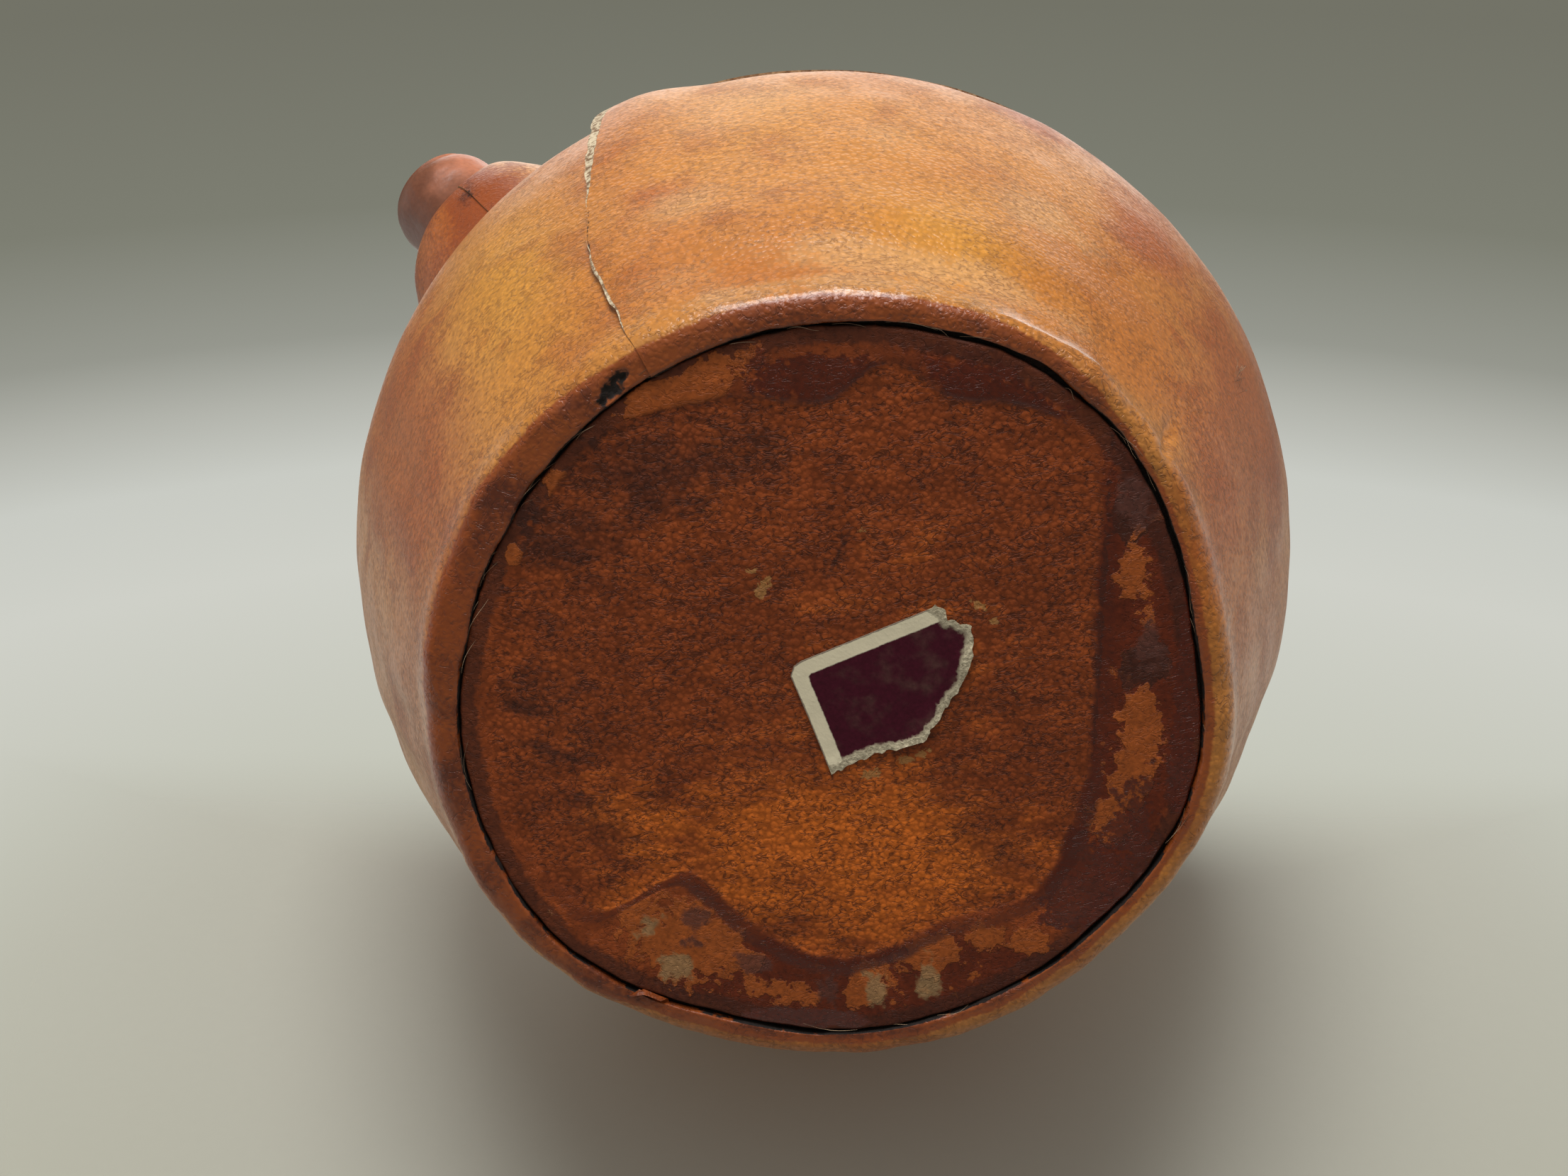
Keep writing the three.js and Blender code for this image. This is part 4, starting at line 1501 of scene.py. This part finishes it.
@dataclass
class Neck(SubAssembly):
    """Leather of a neck: a lapped sleeve that spreads on the dome, and a moulded lip.

    Profiles are (height along the axis, radius) points from the dome upwards.
    """

    name: str
    form: JugForm
    towards: int
    elevation: float
    sleeve_profile: Pairs
    lip_profile: Pairs
    lip_inside: float
    length: float
    end_round: float
    hole: float
    askew: Triple = (0.0, 0.0, 0.0)
    lean: Spline = Spline(((-20.0, 0.0), (-4.0, 0.0), (17.0, 1.0), (36.5, 0.5)))
    seam: float = -66.0
    slant: float = 0.0
    slant_at: float = -5.0
    skirt: float = 4.0
    skirt_lift: float = 0.75
    clearance: float = 1.5
    thickness: float = 0.9
    lap: float = 0.35
    tuck: float = 0.16
    hole_round: float = 0.8
    hole_depth: float = 2.6
    columns: int = 190
    seed: int = 31

    @property
    def root(self) -> Array:
        """Where the axis meets the dome."""
        return np.array(self.form.square_on(self.elevation, self.towards))

    @property
    def axes(self) -> tuple[Array, Array, Array]:
        """Directions of the neck.

        Returns:
            Two cross directions and the axis.
        """
        up = math.radians(self.elevation)
        axis = np.array([self.towards * math.cos(up), 0.0, math.sin(up)])
        side = np.array([0.0, float(self.towards), 0.0])
        return side, np.cross(axis, side), axis

    def at(self, along: Array, radius: Array, turn: Array) -> Array:
        """Place points about the axis.

        Args:
            along: Heights along the axis.
            radius: Distances from the axis.
            turn: Angles in radians.

        Returns:
            A point for each place of the three, spread over each other.
        """
        side, cross, axis = self.axes
        along, radius, turn = (value[..., None] for value in np.broadcast_arrays(along, radius, turn))
        middle = self.root + self.lean(along) * np.array(self.askew)
        return middle + along * axis + radius * (np.cos(turn) * side + np.sin(turn) * cross)

    def _build_sleeve(self) -> Piece:
        """Make the sleeve, from its skirt on the dome to the lip.

        Returns:
            The sleeve.
        """
        knots = np.array(self.sleeve_profile)
        place = np.linspace(0.0, 1.0, len(knots))
        along_curve, radius_curve = (Spline(tuple(zip(place, column))) for column in knots.T)
        past = np.linspace(0.0, TURN + self.tuck, self.columns)
        turn = past + math.radians(self.seam)
        slant = self.slant * bell(wrapped(np.degrees(turn) - self.slant_at), 48.0)
        trial = np.linspace(0.0, 1.0, 160)[:, None]
        reach = self.at(along_curve(trial), radius_curve(trial), turn)
        start = trial[np.argmax(self.form.above_dome(reach) > self.clearance, axis=0), 0]
        share = np.linspace(0.0, 1.0, 46)[:, None]
        s = start + (1 - start) * share
        along = along_curve(s) + slant * ease(s, 0.55, 1.0)
        radius = radius_curve(s)
        plain = self.at(along, radius, turn)
        noise = SmoothNoise(self.seed)
        lumps = 0.45 * noise(plain, 13.0) + 0.2 * noise(plain, 5.0)
        lift = lapped(past, self.lap, 0.25, 0.9) + lumps * (1 - 0.6 * ease(s, 0.9, 1.0))
        body = self.at(along, radius + lift, turn)
        out = np.linspace(1.0, 0.0, 6)[:-1, None]
        foot = self.at(along[:1], radius[:1] + self.skirt * out, turn)
        lift = self.skirt_lift + self.skirt_lift * (1 - out) + 0.25 * noise(foot, 6.0) * out
        skirt = self.form.on_dome(foot, lift)
        rows = np.concatenate([np.zeros(len(out)), share[:, 0]])[:, None]
        angle = wrapped(np.degrees(turn))
        # Red is a redder tone with painted shade on the sleeve's lower side. Pale is painted highlight on its
        # upper side, and the painted shade darkens the seam's crease.
        fields = {
            "red": 0.4 + 0.8 * bell(angle + 105.0, 48.0),
            "pale": 1.1 * bell(angle + 8.0, 40.0),
            "stain": 0.3 + 0.6 * bell(angle - self.seam, 13.0) * bell(rows - 0.4, 0.4),
            "soot": 0.45 * bell(angle - self.seam, 3.0) * bell(rows - 0.35, 0.2),
            "grain": 0.3,
        }
        points = np.vstack([skirt, body])
        return Sheet(f"{self.name}_sleeve_leather", points, fields, thickness=self.thickness).build()

    def _build_lip(self) -> Piece:
        """Make the lip as a closed ring round its hole.

        Returns:
            The lip.
        """
        low, high = self.lip_profile[0][0], self.length - self.end_round
        outside = np.linspace(low, high, 18)
        outer = Spline(self.lip_profile)(outside)
        top = outer[-1]
        turn, inner = arc(0.0, 90.0, 14)[1:], arc(0.0, 90.0, 5)[1:]
        deep = self.length - self.hole_depth
        along = np.concatenate(
            [
                outside,
                high + self.end_round * np.sin(turn),
                self.length - 0.12 * np.sin(np.linspace(0, 3.1, 4)),
                self.length - self.hole_round * (1 - np.cos(inner)),
                [deep, deep, low],
            ]
        )[:, None]
        radius = np.concatenate(
            [
                outer,
                top - self.end_round * (1 - np.cos(turn)),
                np.linspace(top - self.end_round, self.hole + self.hole_round, 5)[1:],
                self.hole + self.hole_round * (1 - np.sin(inner)),
                [self.hole, min(self.lip_inside, top - 1.2), self.lip_inside],
            ]
        )[:, None]
        angle = np.linspace(0.0, TURN, self.columns, endpoint=False)
        plain = self.at(along, radius, angle)
        noise = SmoothNoise(self.seed + 1)
        visible = radius > self.hole + 1.0
        visible[-3:] = False
        lumps = (0.3 * noise(plain, 8.0) + 0.12 * noise(plain, 3.0)) * visible
        points = self.at(along, radius + lumps, angle)
        # Painted highlight: the warmer tone on the lip's upper side.
        wear_and_highlight = bell(wrapped(np.degrees(angle) + 8.0), 58.0) * ease(along, low, low + 7.0)
        return Sheet(f"{self.name}_lip_leather", points, {"wear_and_highlight": wear_and_highlight}, closed=True, looped=True).build()

    def build(self) -> None:
        """Make the sleeve and the lip."""
        self.add(self._build_sleeve(), Slot.WRAP, f"{self.name}_sleeve", Look.TAN, Look.RAW)
        self.add(self._build_lip(), Slot.LIP, f"{self.name}_lip", Look.LIP)


def spout(form: JugForm) -> Neck:
    """The pouring spout, a little askew as in the photo.

    Args:
        form: Form that it stands on.

    Returns:
        The spout's leather.
    """
    return Neck(
        name="spout", form=form, towards=1, elevation=32.0, askew=(-0.55, 1.32, 0.65),
        sleeve_profile=(
            (-14.0, 33.5), (-8.0, 29.4), (0.0, 25.5), (8.0, 22.6), (13.0, 20.4), (15.6, 18.4), (17.0, 16.2),
            (17.5, 13.9),
        ),
        lip_profile=((14.6, 13.0), (17.0, 13.2), (21.0, 12.7), (26.6, 12.29), (28.35, 12.26)),
        lip_inside=10.5, length=36.25, end_round=7.9, hole=2.1, slant=5.0,
    )


def filling_mouth(form: JugForm) -> Neck:
    """The filling mouth, as long as its packed lip.

    Args:
        form: Form that it stands on.

    Returns:
        The mouth's leather.
    """
    elevation, towards = 40.0, -1
    points = np.array([v.co for v in frame["nodes"]["mouth_lip"].data.vertices]) / MM
    along = (points - form.square_on(elevation, towards)) @ np.array(frame["joints"][0]["axis"])
    foot, length = float(along.min()), float(along.max())
    return Neck(
        name="mouth", form=form, towards=towards, elevation=elevation,
        sleeve_profile=(
            (-14.0, 38.5), (-7.0, 32.9), (0.0, 28.0), (7.0, 25.2), (13.0, 24.1), (foot - 1.0, 23.9),
            (foot + 1.6, 23.5), (foot + 2.0, 22.6),
        ),
        lip_profile=((foot, 21.6), (foot + 2.0, 22.0), (length - 4.5, 22.0)),
        lip_inside=20.2, length=length, end_round=4.5, hole=15.9, seam=80.0, seed=41, columns=240,
    )


@dataclass
class RingHandle(SubAssembly):
    """Leather round the ring handle, lapped along its underside, with feet that spread on the dome."""

    form: JugForm
    spread: float = 33.0
    foot: float = 146.7
    rise: float = 55.4
    radius: float = 10.1
    thickness: float = 0.9
    lap: float = 0.7
    tuck: float = 0.35
    skirt: float = 3.2
    skirt_lift: float = 0.7
    clearance: float = 1.4
    columns: int = 84
    rows: int = 130

    def _tube(self, arch: Array, turn: Array, radius: Array | float) -> Array:
        """Place points round the arch.

        Args:
            arch: Angles along the arch, in radians.
            turn: Angles round it, 0 at the inside of the ring.
            radius: Distances from its middle line.

        Returns:
            A point for each place of the three, spread over each other.
        """
        centre = joined(self.spread * np.cos(arch), 0.0, self.foot + self.rise * np.sin(arch))
        along = unit(joined(-self.spread * np.sin(arch), 0.0, self.rise * np.cos(arch)))
        side = np.array([0.0, 1.0, 0.0])
        out = np.cos(turn)[..., None] * np.cross(along, side) + np.sin(turn)[..., None] * side
        return centre + np.asarray(radius)[..., None] * out

    def build(self) -> None:
        """Make the tube."""
        past = np.linspace(0.0, TURN + self.tuck, self.columns)
        arch = np.linspace(-0.35, math.pi + 0.35, 400)[:, None]
        clear = self.form.above_dome(self._tube(arch, past, self.radius)) > self.clearance
        low = arch[np.argmax(clear, axis=0), 0]
        high = arch[len(arch) - 1 - np.argmax(clear[::-1], axis=0), 0]
        arch = low + (high - low) * np.linspace(0.0, 1.0, self.rows)[:, None]
        plain = self._tube(arch, past, self.radius)
        noise = SmoothNoise(51)
        lumps = 0.3 * noise(plain, 11.0) + 0.15 * noise(plain, 4.5)
        body = self._tube(arch, past, self.radius + lapped(past, self.lap, 0.35, 1.1) + lumps)
        out = np.linspace(1.0, 0.0, 5)[:-1, None]
        feet = [self._tube(end, past, self.radius + self.skirt * out) for end in (low, high)]
        lift = self.skirt_lift + self.skirt_lift * (1 - out)
        first, last = (self.form.on_dome(foot, lift) for foot in feet)
        points = np.vstack([first, body, last[::-1]])
        sheet = Sheet("handle_leather", points, {"grain": 0.3}, flip=True, thickness=self.thickness)
        self.add(sheet.build(), Slot.WRAP, "handle_wrap", Look.TAN, Look.RAW)


@dataclass
class ShoulderPanels(SubAssembly):
    """Two dome panels that lap along the middle and over the top edge of the body leather."""

    form: JugForm
    necks: tuple[Neck, ...]
    handle: RingHandle
    lower_edge: float = 95.3
    thickness: float = 0.9
    lap: float = 1.15
    overlap: float = 3.0
    neck_holes: tuple[float, ...] = (19.0, 24.5)
    handle_hole: float = 7.0
    columns: int = 230
    rows: int = 130

    def _lift(self, points: Array, side: int, lap: float, noise: SmoothNoise) -> Array:
        """Lift a panel at its laps, with lumps.

        Args:
            points: Points on the dome.
            side: 1 for the +Y side, -1 for the other.
            lap: Lift of its edge along the middle.
            noise: Noise of its lumps.

        Returns:
            How far the face stands off the dome at each point.
        """
        inwards = np.abs(points[..., 1]) * np.sign(points[..., 1] * side + 1e-9)
        lift = lap * (1 - ease(inwards, 3.0, 16.0))
        lift = lift + self.lap * (1 - ease(points[..., 2] - self.lower_edge, 4.0, 16.0))
        return np.minimum(lift, max(lap, self.lap)) + 0.25 * noise(points, 22.0) + 0.12 * noise(points, 8.0)

    def _kept(self, points: Array) -> Array:
        """Leave holes for the necks and the handle.

        Args:
            points: Grid of a panel.

        Returns:
            Whether each face of the grid stays.
        """
        keep = np.ones(points.shape[:2], dtype=bool)
        for neck, hole in zip(self.necks, self.neck_holes):
            away, axis = points - neck.root, neck.axes[2]
            along = away @ axis
            radial = np.linalg.norm(away - along[..., None] * axis, axis=-1)
            keep &= ~((radial < hole) & (along > -25.0))
        feet = np.hypot(np.abs(points[..., 0]) - self.handle.spread, points[..., 1])
        keep &= ~((feet < self.handle_hole) & (points[..., 2] > self.handle.foot - 20.0))
        return keep[:-1, :-1] & keep[:-1, 1:] & keep[1:, :-1] & keep[1:, 1:]

    def _panel(self, name: str, side: int, over: float, lap: float) -> Piece:
        """One panel.

        Args:
            name: Name of the piece.
            side: 1 for the +Y side, -1 for the other.
            over: How far the panel reaches over the middle.
            lap: Lift of its edge along the middle.

        Returns:
            The panel.
        """
        form = self.form
        drop = (self.lower_edge - form.belly_height) / form.dome_height
        limit = form.belly_radius * math.sqrt(1 - drop * drop) - 0.05
        x = limit * np.sin(np.linspace(-math.pi / 2, math.pi / 2, self.columns))
        scale = np.sqrt(1 - (x / form.belly_radius) ** 2)
        start = -over / (form.belly_radius * scale + over)
        end = np.arccos(np.clip(drop / scale, -1.0, 1.0))
        swing = start + (end - start) * np.linspace(0.0, 1.0, self.rows)[:, None]
        y = side * form.belly_radius * scale * np.sin(swing)
        points = joined(x, y, form.belly_height + form.dome_height * scale * np.cos(swing))
        noise = SmoothNoise(71 + side)
        points = form.on_dome(points, self._lift(points, side, lap, noise))
        fields = {
            "grain": 0.25 + 0.2 * noise(points, 40.0),
            "red": 0.5 * ease(noise(points, 45.0), 0.1, 0.7),
            "pale": 0.6 * ease(noise(points + 90.0, 30.0), 0.2, 0.8),
            "gold": 0.6 * ease(noise(points - 90.0, 50.0), 0.0, 0.7),
        }
        keep = self._kept(points)
        return Sheet(name, points, fields, keep=keep, flip=side < 0, thickness=self.thickness).build()

    def build(self) -> None:
        """Make both panels; the left one lies over the right."""
        for name, side, over, lap in (("left", 1, self.overlap, self.lap), ("right", -1, 0.0, 0.0)):
            panel = self._panel(f"shoulder_leather_{name}", side, over, lap)
            self.add(panel, Slot.WRAP, f"shoulder_panel_{name}", Look.TAN, Look.RAW)


@dataclass
class Stopper(SubAssembly):
    """Cork plug with a leather-covered cap, on the axis of the mouth."""

    mouth: Neck
    depth: float = 14.9
    cork_top: float = 15.15
    cork_foot: float = 13.9
    chamfer: float = 1.0
    cap_low: float = 0.3
    cap_thickness: float = 5.9
    cap_radius: float = 19.3
    cap_round: float = 2.5
    dome: float = 0.5
    unevenness: float = 0.12
    columns: int = 160
    body: Body = field(default=Body.STOPPER, kw_only=True)

    def _turned(self, name: str, profile: Array, seed: int) -> Piece:
        """Turn a body about the mouth's axis, a little uneven.

        Args:
            name: Name of the piece.
            profile: Points of height along the axis and radius.
            seed: Which noise.

        Returns:
            The piece.
        """
        angle = np.linspace(0.0, TURN, self.columns, endpoint=False)
        along, radius = profile[:, :1], profile[:, 1:]
        plain = self.mouth.at(along, radius, angle)
        noise = SmoothNoise(seed)
        lumps = self.unevenness * (0.7 * noise(plain, 5.0) + 0.5 * noise(plain, 2.0)) - self.unevenness
        points = self.mouth.at(along, np.maximum(radius + lumps * (radius > 0.5), 0.0), angle)
        fields = {"grain": 0.3, "red": 0.5 * ease(noise(plain, 14.0), 0.0, 0.6)}
        return Sheet(name, points, fields, closed=True).build()

    def build(self) -> None:
        """Make the plug and the cap."""
        low, base = self.mouth.length - self.depth, self.mouth.length + self.cap_low
        side = np.linspace((low + self.chamfer, self.cork_foot), (base, self.cork_top), 26)
        plug = np.vstack([[(low, 0.0), (low, self.cork_foot - self.chamfer)], side, [(base, 0.0)]])
        self.add(self._turned("cork_plug", plug, 81), Slot.CORK, "stopper_cork", Look.CORK)
        bend, inner = self.cap_round, self.cap_radius - self.cap_round
        edge = base + self.cap_thickness - self.dome
        under, crown = np.linspace(0.0, inner, 12), np.linspace(inner, 0.0, 22)[1:]
        lower, upper = arc(-90.0, 0.0, 9)[1:], arc(0.0, 90.0, 9)[1:]
        height = [
            np.full(len(under), base),
            base + bend * (1 + np.sin(lower)),
            edge - bend * (1 - np.sin(upper)),
            edge + self.dome * (1 - (crown / inner) ** 2),
        ]
        radius = [under, inner + bend * np.cos(lower), inner + bend * np.cos(upper), crown]
        cap = np.column_stack([np.concatenate(height), np.concatenate(radius)])
        self.add(self._turned("cap_leather", cap, 83), Slot.WRAP, "stopper_cap", Look.TAN)


@dataclass
class LooseFibres(SubAssembly):
    """Fibres that stick out of the groove round the base and of a tear in the body leather."""

    form: JugForm
    groove_count: int = 46
    tear_count: int = 12
    tear_height: float = 42.0
    tear_azimuth: float = 112.0
    radius: float = 0.04

    def build(self) -> None:
        """Make the fibres."""
        random = np.random.default_rng(17)
        paths = []
        t = np.linspace(0.0, 1.0, 7)
        for _ in range(self.groove_count):
            start = random.normal(25.0, 65.0)
            length = random.uniform(2.0, 9.0)
            azimuth = start + np.degrees(length / self.form.groove_radius) * t
            drift = random.uniform(-1.2, 1.2) * t + random.uniform(-0.5, 0.5)
            radius = self.form.groove(azimuth) + drift + 0.3 * np.sin(t * random.uniform(2.0, 6.0))
            height = random.uniform(0.2, 1.1) - random.uniform(0.0, 0.6) * np.sin(t * math.pi)
            paths.append(polar(radius, azimuth, height))
        wall_r, wall_z = self.form.wall(np.linspace(0.0, 1.0, 60))
        for _ in range(self.tear_count):
            height = self.tear_height + random.uniform(0.0, 7.0) + random.uniform(2.0, 5.0) * t
            azimuth = self.tear_azimuth + random.uniform(-1.0, 1.0) + random.uniform(-1.5, 1.5) * t
            radius = np.interp(height, wall_z, wall_r) + 0.2 + random.uniform(0.3, 1.6) * np.sin(t * 2.4)
            paths.append(polar(radius, azimuth, height))
        self.add(strands("loose_fibres", paths, self.radius), Slot.WRAP, None, Look.HAIR)


@dataclass
class ClayVessel:
    """Clay solids under the leather, kept as packed."""

    nodes: tuple[str, ...] = ("clay_body", "clay_spout", "clay_mouth", "clay_handle")

    def dress(self, materials: Looks) -> None:
        """Give the solids their clay.

        Args:
            materials: Materials of all the looks.
        """
        for name in self.nodes:
            node = frame["nodes"][name]
            node.data.materials.clear()
            node.data.materials.append(materials[Look.CLAY])
            log.info("%s: %d faces", name, len(node.data.polygons))


# Stage


@dataclass
class Studio:
    """Table, light and camera, fitted to the photo; the table's up direction lies in its picture."""

    eye: Triple = (49.54, 60.47, -213.19)
    right: Triple = (-0.7922, 0.6100, 0.0165)
    up: Triple = (0.5901, 0.7588, 0.2753)
    lens: float = 36.0
    sensor: float = 36.0
    nearest_seen: float = 5.0
    table_up: Triple = (0.594, 0.777, -0.208)
    centre: Triple = (0.0, 0.0, 90.0)
    floor_size: float = 900.0
    floor_fade: tuple[float, float] = (90.0, 235.0)
    floor_colour: Colour = (0.43, 0.425, 0.36)
    far_fade: tuple[float, float] = (5.0, 60.0)
    highest: float = -0.13
    lowest: float = -0.73
    backdrop: tuple[tuple[float, Colour], ...] = (
        (0.0, (0.171, 0.171, 0.136)),
        (0.183, (0.205, 0.209, 0.168)),
        (0.30, (0.304, 0.309, 0.270)),
        (0.358, (0.445, 0.451, 0.407)),
        (0.425, (0.584, 0.597, 0.552)),
        (0.517, (0.624, 0.631, 0.578)),
        (0.667, (0.571, 0.578, 0.503)),
        (0.783, (0.515, 0.515, 0.429)),
        (0.95, (0.474, 0.468, 0.366)),
    )
    low_light: Colour = (0.16, 0.158, 0.154)
    high_light: Colour = (0.56, 0.552, 0.538)
    key_power: float = 3.15
    key_size: float = 300.0
    rim_power: float = 2.4
    rim_size: float = 700.0
    high_lamps: float = 620.0
    side_power: float = 0.6
    side_size: float = 600.0
    side_lamps: float = 560.0

    @property
    def above(self) -> Array:
        """Direction up from the table."""
        return unit(self.table_up)

    @property
    def towards(self) -> Array:
        """Direction from the jug to the camera."""
        return unit(np.array(self.eye) - np.array(self.centre))

    def build_camera(self) -> None:
        """Place the camera."""
        x = Vector(self.right).normalized()
        z = x.cross(Vector(self.up)).normalized()
        data = bpy.data.cameras.new("camera")
        data.lens = self.lens
        data.sensor_width = self.sensor
        data.clip_start = self.nearest_seen * MM
        camera = placed("camera", data)
        turn = Matrix((x, z.cross(x), z)).transposed().to_4x4()
        camera.matrix_world = Matrix.Translation(Vector(self.eye) * MM) @ turn
        bpy.context.scene.camera = camera

    def _lamp(self, name: str, distance: float, direction: Array, size: float, power: float) -> None:
        """Hang a square soft lamp that looks at the jug.

        Args:
            name: Name of the lamp.
            distance: Distance from the jug's middle.
            direction: Direction from the jug.
            size: Side of the square.
            power: Power in watts.
        """
        data = bpy.data.lights.new(name, "AREA")
        data.size = size * MM
        data.energy = power
        away = distance * unit(direction)
        lamp = placed(name, data)
        lamp.location = Vector((np.array(self.centre) + away) * MM)
        lamp.rotation_euler = Vector(-away).to_track_quat("-Z", "Y").to_euler()

    def build_lamps(self) -> None:
        """Key above the table, rim light from beyond the jug and weak light from both sides."""
        up, towards, side = self.above, self.towards, np.array(self.right)
        key, rim = up + 0.13 * towards - 0.06 * side, 0.45 * up - towards
        self._lamp("key", self.high_lamps, key, self.key_size, self.key_power)
        self._lamp("rim", self.high_lamps, rim, self.rim_size, self.rim_power)
        for name, way in (("left", -side), ("right", side)):
            self._lamp(name, self.side_lamps, way - 0.1 * towards, self.side_size, self.side_power)

    def build_world(self) -> None:
        """Grey surroundings: light from above and beyond, and a backdrop that darkens upwards."""
        world = bpy.data.worlds.new("studio")
        bpy.context.scene.world = world
        board = Board(world)
        rise = board.along("Incoming", -self.above)
        beyond = board.along("Incoming", self.towards)
        share = (rise - self.highest) / (self.lowest - self.highest)
        colour = board.add("ShaderNodeValToRGB", {"stops": self.backdrop}, {0: share})
        seen = board.add("ShaderNodeBackground", None, {"Color": colour})
        glow = board.mix(rise.most(beyond.step(-0.1, 0.7) * 0.65), self.low_light, self.high_light)
        light = board.add("ShaderNodeBackground", None, {"Color": glow})
        shown = board.rays("Is Camera Ray", "Is Glossy Ray", "Is Transmission Ray")
        both = board.add("ShaderNodeMixShader", None, {0: shown, 1: light, 2: seen})
        board.add("ShaderNodeOutputWorld", None, {"Surface": both})

    def _table_top(self) -> Material:
        """Pale table that fades into the backdrop, clear from below, beyond the jug and to its light.

        Returns:
            The finished material.
        """
        board = Board.material("table")
        away = board.add("ShaderNodeVectorMath", {"operation": "LENGTH"}, {0: board.place}, "Value")
        dull = tuple(0.97 * c for c in self.floor_colour)
        colour = board.mix(board.noise(2.0, 1.0), dull, self.floor_colour)
        top = board.add("ShaderNodeBsdfPrincipled", None, {"Base Color": colour, "Roughness": 0.75})
        clear = board.add("ShaderNodeBsdfTransparent")
        back = board.add("ShaderNodeNewGeometry", output="Backfacing")
        beyond = unit((self.towards @ self.above) * self.above - self.towards)
        ahead = board.along("Position", beyond) / MM - float(beyond @ np.array(self.centre))
        unlit = board.rays("Is Diffuse Ray", "Is Shadow Ray")
        hidden = away.step(*self.floor_fade).most(back).most(ahead.step(*self.far_fade)).most(unlit)
        both = board.add("ShaderNodeMixShader", None, {0: hidden, 1: top, 2: clear})
        board.add("ShaderNodeOutputMaterial", None, {"Surface": both})
        return board.owner

    def build_table(self) -> None:
        """Lay the table under the lowest point of the jug."""
        up = self.above
        low = min(float(np.min(np.array([v.co for v in piece.data.vertices]) @ up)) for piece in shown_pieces())
        half = self.floor_size / 2
        corners = np.array([(-half, -half, 0), (half, -half, 0), (half, half, 0), (-half, half, 0)])
        table = placed("table", meshed("table", corners, [[0, 1, 2, 3]]))
        foot = np.array(self.centre) * MM
        table.location = Vector(foot + up * (low - foot @ up))
        table.rotation_euler = Vector(up).to_track_quat("Z", "Y").to_euler()
        table.data.materials.append(self._table_top())
        table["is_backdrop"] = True


def main() -> None:
    """Build, dress and stage the jug."""
    logging.basicConfig(level=logging.INFO, format="%(message)s")
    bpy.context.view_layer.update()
    form = JugForm()
    disc = BaseDisc(form)
    pour, fill = spout(form), filling_mouth(form)
    handle = RingHandle(form)
    panels = ShoulderPanels(form, (pour, fill), handle)
    assemblies = [
        BodyWrap(form), disc, PaperLabel(disc), pour, fill, handle, panels, Stopper(fill), LooseFibres(form),
    ]
    for assembly in assemblies:
        assembly.build()
    materials = {look: look.value.make() for look in Look}
    for assembly in [*assemblies, ClayVessel()]:
        assembly.dress(materials)
    studio = Studio()
    studio.build_camera()
    studio.build_lamps()
    studio.build_world()
    studio.build_table()
    bpy.context.scene.view_settings.view_transform = "Standard"


if __name__ == "__main__":
    main()
